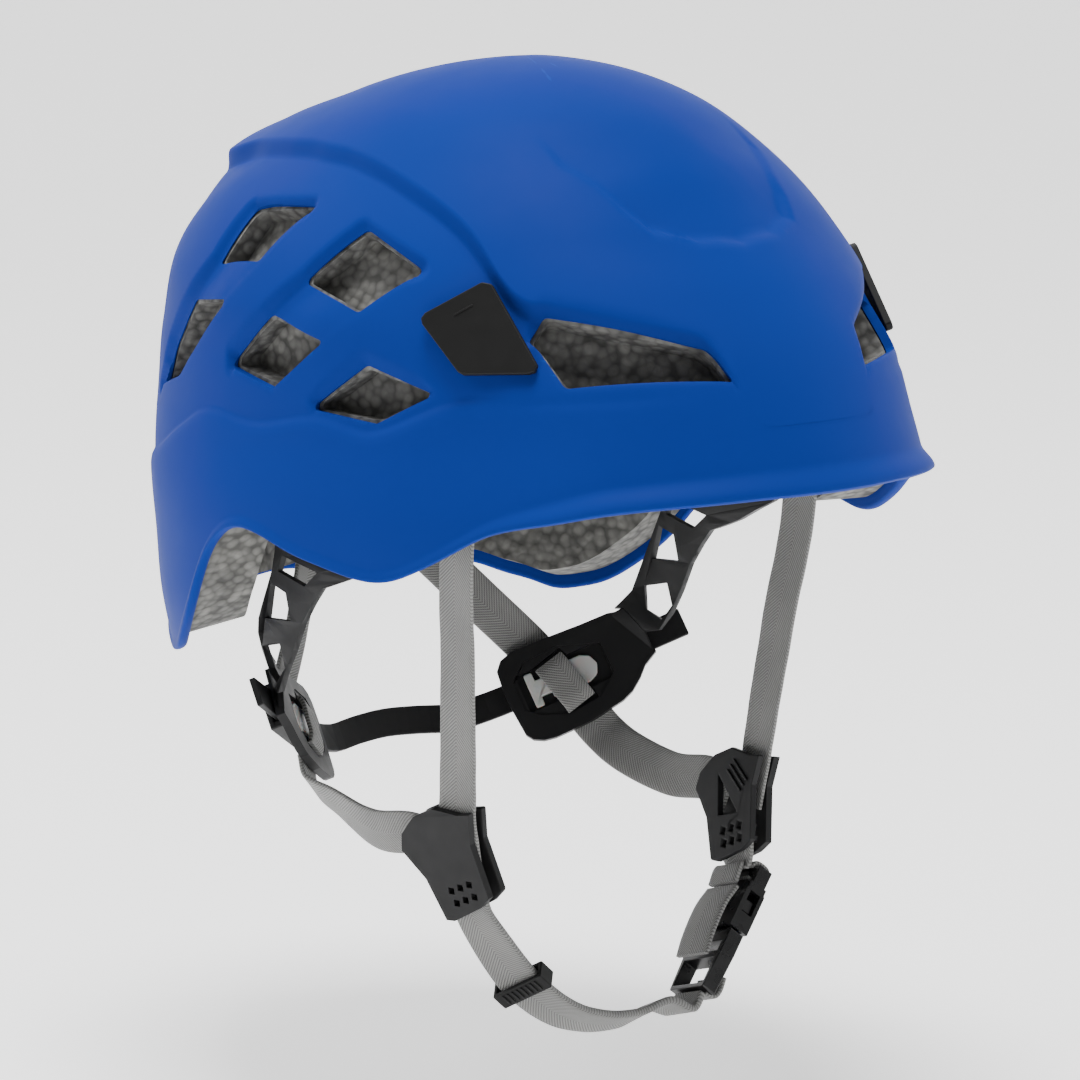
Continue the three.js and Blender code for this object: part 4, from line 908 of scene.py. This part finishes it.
# ---- comfort pads: crowned cushions with channels ------------------------------------
def pad_grid(name, ths, pss, node, depth0, thick, channels):
    nt, npp = len(ths), len(pss)
    A, B = np.meshgrid(ths, pss, indexing="ij")
    u, v = np.linspace(-1, 1, nt)[:, None], np.linspace(-1, 1, npp)[None]
    crownf = (1 - np.abs(u) ** 6) * (1 - np.abs(v) ** 5)
    crownf = np.clip(crownf, 0, 1) ** 0.45
    ch = np.ones_like(crownf)
    for c in channels:
        ch = ch * (1 - 0.5 * np.exp(-((u - c) / 0.035) ** 2))
    top = at(A, B, depth0 + 0.3 + (thick - 0.4) * crownf * ch)
    bot = at(A, B, np.full(A.shape, depth0))
    idx = np.arange(nt * npp).reshape(nt, npp)
    V3 = np.vstack([top.reshape(-1, 3), bot.reshape(-1, 3)])
    f = []
    for i in range(nt - 1):
        for j in range(npp - 1):
            q = [int(idx[i, j]), int(idx[i + 1, j]), int(idx[i + 1, j + 1]), int(idx[i, j + 1])]
            f += [q, [x + nt * npp for x in q[::-1]]]
    loop = [int(x) for x in list(idx[:, 0]) + list(idx[-1, 1:]) + list(idx[::-1, -1][1:]) + list(idx[0, ::-1][1:-1])]
    f += [[a, b, b + nt * npp, a + nt * npp] for a, b in zip(loop, loop[1:] + loop[:1])]
    o = outward(mesh_object(name, V3, f, angle=60))
    finish_piece(o, "shell_assembly", "comfort_pad", M_PAD, node)
    return o


pad_grid("pad_brow", np.linspace(-43.6, 43.6, 160), np.linspace(64.3, 80.2, 36), "brow_pad", LINER_IN + PAD_GAP, 5.4, (-0.62, -0.21, 0.21, 0.62))


def pad_disc(name, node):
    nt, nr = 96, 22
    ths = np.linspace(-180, 180, nt, endpoint=False)
    rr = np.linspace(0, 13.8, nr)
    A, B = np.meshgrid(ths, rr, indexing="ij")
    q = rr[None] / 13.8
    dome = np.clip(1 - q ** 6, 0, 1) ** 0.5 * (1 - 0.45 * np.exp(-((q - 0.52) / 0.06) ** 2))
    depth = LINER_IN + PAD_GAP
    top, bot = at(A, B, depth + 0.3 + 4.5 * np.broadcast_to(dome, A.shape)), at(A, B, np.full(A.shape, depth))
    V3, f = [top[0, 0]], []
    for i in range(nt):
        V3 += [top[i, j] for j in range(1, nr)]
    base_ = len(V3)
    V3.append(bot[0, 0])
    for i in range(nt):
        V3 += [bot[i, j] for j in range(1, nr)]
    g = lambda i, j, b: b if j == 0 else b + 1 + (i % nt) * (nr - 1) + j - 1
    for i in range(nt):
        for j in range(nr - 1):
            for b, rev in ((0, False), (base_, True)):
                quad = [g(i, j, b), g(i, j + 1, b), g(i + 1, j + 1, b), g(i + 1, j, b)]
                quad = quad[::-1] if rev else quad
                f.append([x for n_, x in enumerate(quad) if x not in quad[:n_]])
        f.append([g(i, nr - 1, 0), g(i, nr - 1, base_), g(i + 1, nr - 1, base_), g(i + 1, nr - 1, 0)])
    o = outward(mesh_object(name, V3, f, angle=60))
    finish_piece(o, "shell_assembly", "comfort_pad", M_PAD, node)


pad_disc("pad_crown", "crown_pad")

# ---- local frames, the same as the CAD source's ---------------------------------------
PC = np.array([61.5, 48.4, -59.0])
pN = np.array([0.64407603, 0.66696025, -0.37460659])
pT = np.array([0.7193398, -0.69465837, 0])
pU = np.array([0.26022361, 0.26946943, 0.92718385])
DC = np.array([62.7, -28, -93.8])
dW = np.array([-0.13571557, -0.99074784, 0])
dU = np.array([0.20635746, -0.02826746, 0.97806827])
dN = np.cross(dW, dU)
dN = dN if dN[0] > 0 else -dN
BT = np.array([63.06, -34, -115.9])
bD = unit(np.array([-0.675, -0.146, -0.723]))
_w = np.array([-0.09, -0.957, 0.277])
bW = unit(_w - bD * (_w @ bD))
bN = np.cross(bD, bW)
bNo = bN if bN[0] > 0 else -bN
P3 = lambda a, b, t: PC + pT * a + pU * b + pN * t
D3 = lambda a, b, t: DC + dW * a + dU * b + dN * t
B3 = lambda l, w, t: BT + bD * l + bW * w + bNo * t
row = lambda p, w: [*p, *w]
e1, e2 = np.array([0.909, 0.416]), np.array([-0.416, 0.909])
bl = lambda p, q: np.array([p * e1[0] + q * e2[0], 2.7 + p * e1[1] + q * e2[1]])


def both(o, left_body, right_body, slot_, material, node):
    """The left piece and its mirror image, in place of the node's two sides."""
    r = mirrored(o, o.name.replace("_left", "_right"))
    finish_piece(o, left_body, slot_, material, node + "_left")
    finish_piece(r, right_body, slot_, material, node + "_right")
    return o, r


# ---- webbing -------------------------------------------------------------------------
ROOT, CR = "shell_assembly", "cradle"
fsIn, fsEnd = D3(5.6, 16, 0.95), D3(5.4, 1, 0.95)
both(strap("web_front_left", [[70.0, -45.6, 40, 0, -1, 0], [75.4, -44.9, 12.3, 0, -1, 0], [70.9, -39.8, -30, -0.04, -1, 0], [fsIn[0] + 0.6, fsIn[1] - 0.9, fsIn[2] + 8, -0.12, -0.99, 0], row(fsIn, dW), row(fsEnd, dW)], WEB_W, WEB_T, 90, wave=0.12), ROOT, ROOT, "webbing_grey", M_WEB, "front_strap")
sd, sw = np.array([0.636, -0.773]), np.array([0.773, 0.636])
wStrap = pT * sw[0] + pU * sw[1]
tBack = PLATE_T + GAP + WEB_T / 2
L0, L1 = P3(5.6 + 1.5 * sd[0] - 3, -16 + 1.5 * sd[1] + 3.2, tBack), P3(5.6 + 5.2 * sd[0], -16 + 5.2 * sd[1], tBack)
dIn, dInW, dEnd = D3(-14.5, 6.6, -0.95), dW * 0.33 + dU * 0.94, D3(-3.5, 3.2, -0.95)
lo_rows = [row(L0, wStrap), row(L1, wStrap), [64.4, 27.5, -83.6, 0.55, -0.34, 0.76], [66.0, 6, -88.6, 0.3, -0.28, 0.91], row(dIn, dInW), row(dEnd, dInW)]
U0, U1 = P3(-17.1, 9.5, tBack + 0.7), P3(-15.6, 7.6, tBack + 0.4)
wUp = np.array([0.633, -0.241, 0.659])
up_rows = [row(U1, wUp), row(U0, wUp), [42, 75.6, -36.3, *wUp], [29.4, 85.6, -20.5, 0.64, -0.2, 0.66], [17.5, 96.2, -5.5, 0.8, 0.05, 0.55], [11.6, 106.6, 7.5, 0.97, 0.06, 0.2], [10.4, 112.4, 20.8, 1, 0.06, 0]]


def crossing(o, node):
    """A strap that runs between the cradle, at start, and the shell, at end."""
    for piece, side_, s in ((o, "left", 1), (mirrored(o, o.name.replace("_left", "_right")), "right", -1)):
        piece.data.materials.append(M_WEB) if not piece.data.materials else None
        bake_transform(piece)
        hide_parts(f"{node}_{side_}")


crossing(strap("web_rear_lower_left", lo_rows, WEB_W, WEB_T, 90, wave=0.1, seed=3), "rear_strap_lower")
crossing(strap("web_rear_upper_left", up_rows, WEB_W, WEB_T, 90, wave=0.1, seed=5), "rear_strap_upper")
loopPts = [[1.2, -10.6, -0.1], [-0.6, -8.4, -1.25], [-4.6, -3.6, -1.35], [-8.8, 1.5, -1.25], [-10.4, 3.5, -0.2]]
both(strap("web_pawl_loop_left", [row(P3(*p), wStrap) for p in loopPts], 11.4, WEB_T, 36), CR, CR, "webbing_grey", M_WEB, "rear_strap_loop")
R3 = lambda v: np.array([-v[0], v[1], v[2]])
cs0, cs1 = R3(D3(5.0, -8.5, 0)), R3(D3(5.6, -17.5, 0))
wExit = R3(dW * 0.914 + dU * 0.4)
wExitL = dW * 0.914 + dU * 0.4
chin_rows = [row(cs0, wExit), row(cs1, wExit), [-52, -35.6, -122.5, 0.2, -0.87, 0.43], [-41.3, -37.8, -136.5, 0.33, -0.82, 0.46], [-27, -39.9, -147.6, 0.2, -0.85, 0.5], [-12, -41, -153, 0.05, -0.86, 0.51], [3, -41.2, -154.2, -0.02, -0.87, 0.49], [16.3, -40.9, -152.0, -0.06, -0.92, 0.39], row(B3(55, 0, -0.6), bW), row(B3(48.6, 0, -0.2), bW)]
chin = strap("web_chin", chin_rows, WEB_W, CHIN_T * 0.96, 170, edge=0.5, wave=0.08, seed=9)
chin.data.materials.append(M_WEB)
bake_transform(chin)
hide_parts("chin_strap")
finish_piece(strap("web_buckle_short", [row(D3(5.0, -9.5, 0), wExitL), row(D3(5.6, -19.5, 0.3), wExitL), row(B3(2.5, 0, -7.3), bW), row(B3(9, 0, -6.9), bW)], WEB_W, 1.9, 40), ROOT, "webbing_grey", M_WEB, "buckle_strap")
finish_piece(strap("web_buckle_loop", [row(B3(l, 0, t), bW) for l, t in [[4.7, -3.4], [4.7, 0], [4.0, 3.0], [1.3, 3.6], [-1.5, 2.7], [-2.1, 0], [-1.4, -2.8], [0.6, -3.6]]], WEB_W, 1.2, 60), ROOT, "webbing_grey", M_WEB, "buckle_strap_loop")
finish_piece(strap("web_buckle_backing", [row(B3(10.4, 0.5, -6.4), bW), row(B3(18, 0.5, -7.8), bW), row(B3(30, 0.5, -7.4), bW), row(B3(37, 0.5, -6.2), bW)], 17, 1.6, 36, crown=0.1), ROOT, "webbing_grey", M_WEB, "buckle_backing")
finish_piece(strap("web_chin_tail", [row(B3(48.3, 0, 0.8), bW), row(B3(47.9, 0, 2.8), bW), row(B3(47.0, 0, 4.7), bW), row(B3(44.4, 0, 5.6), bW), row(B3(39.5, 0, 5.0), bW)], WEB_W, WEB_T, 24), "plug", "webbing_grey", M_WEB, "chin_strap_tail")

# ---- moulded fittings: the CAD shapes are right, so they keep their place and get soft edges ---
FINISH = {
    "cradle_plate": ("cradle_black", M_BLACK, 0.75), "ratchet_case": ("cradle_black", M_BLACK, 0.6), "nape_band": ("cradle_black", M_BLACK, 0.4),
    "cradle_arm": ("cradle_black", M_BLACK, 0.45), "arm_stud": ("cradle_black", M_BLACK, 0.35), "strap_anchor": ("fitting_black", M_BLACK, 0.8),
    "divider_cover": ("divider_grey", M_SOFT, 0.7), "divider_back": ("divider_grey", M_SOFT, 0.6), "size_pawl": ("pawl_white", M_WHITE, 0.5),
    "buckle_socket": ("buckle_black", M_GLOSS, 0.5), "buckle_plug": ("buckle_black", M_GLOSS, 0.5), "buckle_prong": ("buckle_black", M_GLOSS, 0.4),
    "strap_keeper": ("fitting_black", M_CLIP, 0.5), "headlamp_clip": ("clip_black", M_CLIP, 1.15),
}
for name, o in NODES.items():
    for key, (slot_name, material, radius) in FINISH.items():
        if name.startswith(key):
            o.data.materials.clear()
            o.data.materials.append(material)
            w = o.modifiers.new("weld", "WELD")
            w.merge_threshold = 0.00001
            b = o.modifiers.new("soft_edges", "BEVEL")
            b.width, b.segments, b.limit_method, b.angle_limit, b.use_clamp_overlap = radius * MM, 3, "ANGLE", math.radians(32), True
            b.harden_normals = True


def bending_arm(side_, s):
    """The cradle arm's shape with soft edges, cut into short lengths."""
    me = NODES[f"cradle_arm_{side_}"].data.copy()
    me.materials.clear()
    o = bpy.data.objects.new(f"arm_flex_{side_}", me)
    scene_col = bpy.context.scene.collection
    scene_col.objects.link(o)
    w = o.modifiers.new("weld", "WELD")
    w.merge_threshold = 0.00001
    b = o.modifiers.new("soft_edges", "BEVEL")
    b.width, b.segments, b.limit_method, b.angle_limit, b.use_clamp_overlap = 0.00055, 3, "ANGLE", math.radians(32), True
    apply_modifiers(o)
    start, end = np.array([82.0, 38, -42]), np.array([86.0, 25, 7])
    dirn = unit(end - start)
    bm = bmesh.new()
    bm.from_mesh(o.data)
    for k in np.arange(0.04, 1.0, 0.06):
        p = start + (end - start) * k
        bmesh.ops.bisect_plane(bm, geom=bm.verts[:] + bm.edges[:] + bm.faces[:], dist=1e-7, plane_co=(s * p[0] * MM, p[1] * MM, p[2] * MM), plane_no=(s * dirn[0], dirn[1], dirn[2]))
    bm.to_mesh(o.data)
    bm.free()
    o.data.polygons.foreach_set("use_smooth", [True] * len(o.data.polygons))
    o.data.set_sharp_from_angle(angle=math.radians(35))
    o.data.materials.append(M_BLACK)
    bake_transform(o)
    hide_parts(f"cradle_arm_{side_}")


bending_arm("left", 1)
bending_arm("right", -1)


WINDOW = np.array([[-19.2, 3.4], [-7.8, 9.3], [7.0, 10.6], [12.2, 0.8], [7.7, -8.3], [-2.7, -14.3], [-13.2, -14.8], [-18.2, -13.3], [-22.6, -3.6]])
wc = WINDOW.mean(0)
WIN = WINDOW + unit(WINDOW - wc) * 0.3
back = plate("adjuster_floor_left", WIN, [], 2.62, 2.94, PC, pT, pU, pN, bevel=0)
web = plate("adjuster_web_left", WIN, [], 0.45, 2.6, PC, pT, pU, pN, bevel=0)
cuts = [
    box_tool("c0", (31.4, 13.8, 10), (-4.75, -1.39, 1.5), math.atan2(0.416, 0.909), PC, pT, pU, pN),
    box_tool("c1", (3.4, 12.4, 10), (1.3, -10.7, 1.5), math.atan2(-0.773, 0.636), PC, pT, pU, pN),
    box_tool("c2", (3.4, 12.4, 10), (-10.5, 3.6, 1.5), math.atan2(-0.773, 0.636), PC, pT, pU, pN),
]
cut_by(web, cuts)
for t in cuts:
    drop(t)
for o in (back, web):
    o2 = mirrored(o, o.name.replace("_left", "_right"))
    for piece in (o, o2):
        b = piece.modifiers.new("soft_edges", "BEVEL")
        b.width, b.segments, b.limit_method, b.angle_limit, b.use_clamp_overlap = 0.0003, 2, "ANGLE", math.radians(40), True
        finish_piece(piece, CR, "cradle_black", M_BLACK)
# the neck where the arm runs into its plate
me = NODES["cradle_arm_left"].data
co = np.empty(len(me.vertices) * 3, np.float32)
me.vertices.foreach_get("co", co)
rel = co.reshape(-1, 3) / MM - PC
A2, B2, T2 = rel @ pT, rel @ pU, rel @ pN
across = (A2 - 27.6) * 0.749 + (B2 - 8.6) * 0.663
along = (A2 - 27.6) * -0.663 + (B2 - 8.6) * 0.749
pick = (across < 1.0) & (along > -1.5) & (along < 20.2)
pts = [tuple(p) for p in co.reshape(-1, 3)[pick]] + [tuple(P3(a, b, t) * MM) for a, b in ((25.9, 7.2), (14.0, 20.8), (9.9, 20.2)) for t in (0.3, 2.7)]
bm = bmesh.new()
for p in pts:
    bm.verts.new(p)
res = bmesh.ops.convex_hull(bm, input=bm.verts)
bmesh.ops.delete(bm, geom=list({v for v in res["geom_interior"] + res["geom_unused"] if isinstance(v, bmesh.types.BMVert)}), context="VERTS")
bmesh.ops.recalc_face_normals(bm, faces=bm.faces)
me = bpy.data.meshes.new("arm_neck_left")
bm.to_mesh(me)
bm.free()
neck = bpy.data.objects.new("arm_neck_left", me)
bpy.context.scene.collection.objects.link(neck)
neck.data.polygons.foreach_set("use_smooth", [True] * len(neck.data.polygons))
neck.data.set_sharp_from_angle(angle=math.radians(40))
neck_r = mirrored(neck, "arm_neck_right")
for piece in (neck, neck_r):
    b = piece.modifiers.new("soft_edges", "BEVEL")
    b.width, b.segments, b.limit_method, b.angle_limit, b.use_clamp_overlap = 0.0004, 3, "ANGLE", math.radians(40), True
    finish_piece(piece, CR, "cradle_black", M_BLACK)


def ribs(name, frame_, body, slot_, material, bars, t0, t1, bevel=0.25):
    """Small raised bars, each a rounded plate, on a fitting's face."""
    O, ex, ey, ez = frame_
    made = []
    for i, (x0, y0, x1, y1, w) in enumerate(bars):
        a, b = np.array([x0, y0]), np.array([x1, y1])
        d = unit(b - a)
        s = np.array([-d[1], d[0]]) * w / 2
        made.append(plate(f"{name}_{i}", [a - s, b - s, b + s, a + s], [], t0, t1, O, ex, ey, ez, bevel=bevel, corner=w * 0.4, segs=2))
    return join_objects(name, made)


# ratchet teeth of the nape band: fine ribs across the outer face of the tails
PL = (PC, pT, pU, pN)
mid = PLATE_T + GAP + BAND_T / 2 + 0.1
teeth = []
for k in range(9):
    p = 21.5 + k * 1.7
    a, b = bl(p, -3.6), bl(p, 3.6)
    teeth.append((a[0], a[1], b[0], b[1], 0.75))
tl = ribs("band_teeth_left", PL, CR, "cradle_black", M_BLACK, teeth, mid + BAND_T / 2 - 0.1, mid + BAND_T / 2 + 0.4)
tr_ = mirrored(tl, "band_teeth_right")
for o in (tl, tr_):
    finish_piece(o, CR, "cradle_black", M_BLACK)
# divider: ribs on the face towards the wearer
DL = (DC, dW, dU, dN)
rib_bars = [(-0.4, 13.6, 8.6, 8.0, 0.9), (0.8, 15.6, 9.8, 10.0, 0.9), (-1.6, 11.6, 7.4, 6.0, 0.9)]
dl = ribs("divider_ribs_left", DL, ROOT, "divider_grey", M_SOFT, rib_bars, -5.0, -4.3)
dr = mirrored(dl, "divider_ribs_right")
for o in (dl, dr):
    finish_piece(o, ROOT, "divider_grey", M_SOFT)
# keeper: a row of small ribs on the outer face
k0 = np.array([-41.3, -37.8, -136.5])
kt = unit(np.array([0.72, -0.12, -0.68]))
kw = np.array([0.33, -0.82, 0.46])
kw = unit(kw - kt * (kw @ kt))
kn = np.cross(kt, kw)
kn = kn if kn @ np.array([-1, 0, -1]) > 0 else -kn
kb = [(-2.2, y, 2.2, y, 0.8) for y in np.linspace(-6.5, 6.5, 8)]
kr = ribs("keeper_ribs", (k0, kt, kw, kn), "keeper", "fitting_black", M_CLIP, kb, CHIN_T / 2 + 0.75 + 1.3, CHIN_T / 2 + 0.75 + 1.85)
finish_piece(kr, "keeper", "fitting_black", M_CLIP)
# headlamp clip: small slit mark near the top corner, as a shallow dark bar
sx, sy = (foot_at @ clip_x) + 1.0, (foot_at @ clip_y)
sl = ribs("clip_slit_right", (clip_c, clip_x, clip_y, clip_n), "clip_right", "clip_black", M_CLIP, [(sx - 3.4 * math.cos(turn), sy - 3.4 * math.sin(turn), sx + 3.4 * math.cos(turn), sy + 3.4 * math.sin(turn), 0.7)], 1.9, 2.3, bevel=0.12)
sr = mirrored(sl, "clip_slit_left")
finish_piece(sl, "clip_right", "clip_black", M_CLIP)
finish_piece(sr, "clip_left", "clip_black", M_CLIP)

# ---- stage, light and camera -----------------------------------------------------------
# the floor lies below the open buckle, which hangs lower than the closed one
low = min(cad_box[0][2], -0.1592)
me = bpy.data.meshes.new("floor")
W, D0, D1, H, R = 6.0, -5.0, 3.2, 4.5, 1.2
profile = [(D0, 0.0)] + [(D1 - R + R * math.sin(a), R - R * math.cos(a)) for a in np.linspace(0, math.pi / 2, 24)] + [(D1, H)]
yaw = math.radians(-42)
fwd = np.array([-math.sin(yaw), math.cos(yaw)])
rgt = np.array([math.cos(yaw), math.sin(yaw)])
vs = [((rgt * s * W + fwd * d)[0], (rgt * s * W + fwd * d)[1], low - 0.022 + z) for d, z in profile for s in (-1, 1)]
me.from_pydata(vs, [], [[2 * i, 2 * i + 1, 2 * i + 3, 2 * i + 2] for i in range(len(profile) - 1)])
me.polygons.foreach_set("use_smooth", [True] * len(me.polygons))
floor = bpy.data.objects.new("floor", me)
bpy.context.scene.collection.objects.link(floor)
fm = Mat("floor_pale", 0.85)
fm.b.inputs["Base Color"].default_value = (0.93, 0.93, 0.93, 1)
fm.b.inputs["Emission Color"].default_value = (1, 1, 1, 1)
fm.b.inputs["Emission Strength"].default_value = 0.80
me.materials.append(fm.m)

scene = bpy.context.scene
world = bpy.data.worlds.new("studio")
scene.world = world
world.use_nodes = True
world.node_tree.nodes["Background"].inputs[0].default_value = (1, 1, 1, 1)
world.node_tree.nodes["Background"].inputs[1].default_value = 0.27


def area(name, where, size, power, aim=(0, 0, 0)):
    d = bpy.data.lights.new(name, "AREA")
    d.shape, d.size, d.energy = "SQUARE", size, power
    o = bpy.data.objects.new(name, d)
    o.location = where
    o.rotation_euler = (Vector(aim) - Vector(where)).to_track_quat("-Z", "Y").to_euler()
    scene.collection.objects.link(o)


area("key", (-0.1, -0.15, 2.25), 1.0, 80)
area("fill", (1.6, -0.9, 0.7), 1.4, 5)
area("rim", (-1.1, 1.3, 1.5), 1.2, 24)

cam = bpy.data.cameras.new("camera")
cam.sensor_width, cam.lens, cam.clip_start, cam.clip_end = 36.0, 1.9 * 3.04 * 36.0 / 1.080, 0.05, 50
camera = bpy.data.objects.new("camera", cam)
az, el = math.radians(-42), math.radians(9.45)
camera.location = (1.9 * math.sin(az) * math.cos(el), -1.9 * math.cos(az) * math.cos(el), 1.9 * math.sin(el))
camera.rotation_euler = (-camera.location).to_track_quat("-Z", "Y").to_euler()
scene.collection.objects.link(camera)
scene.camera = camera
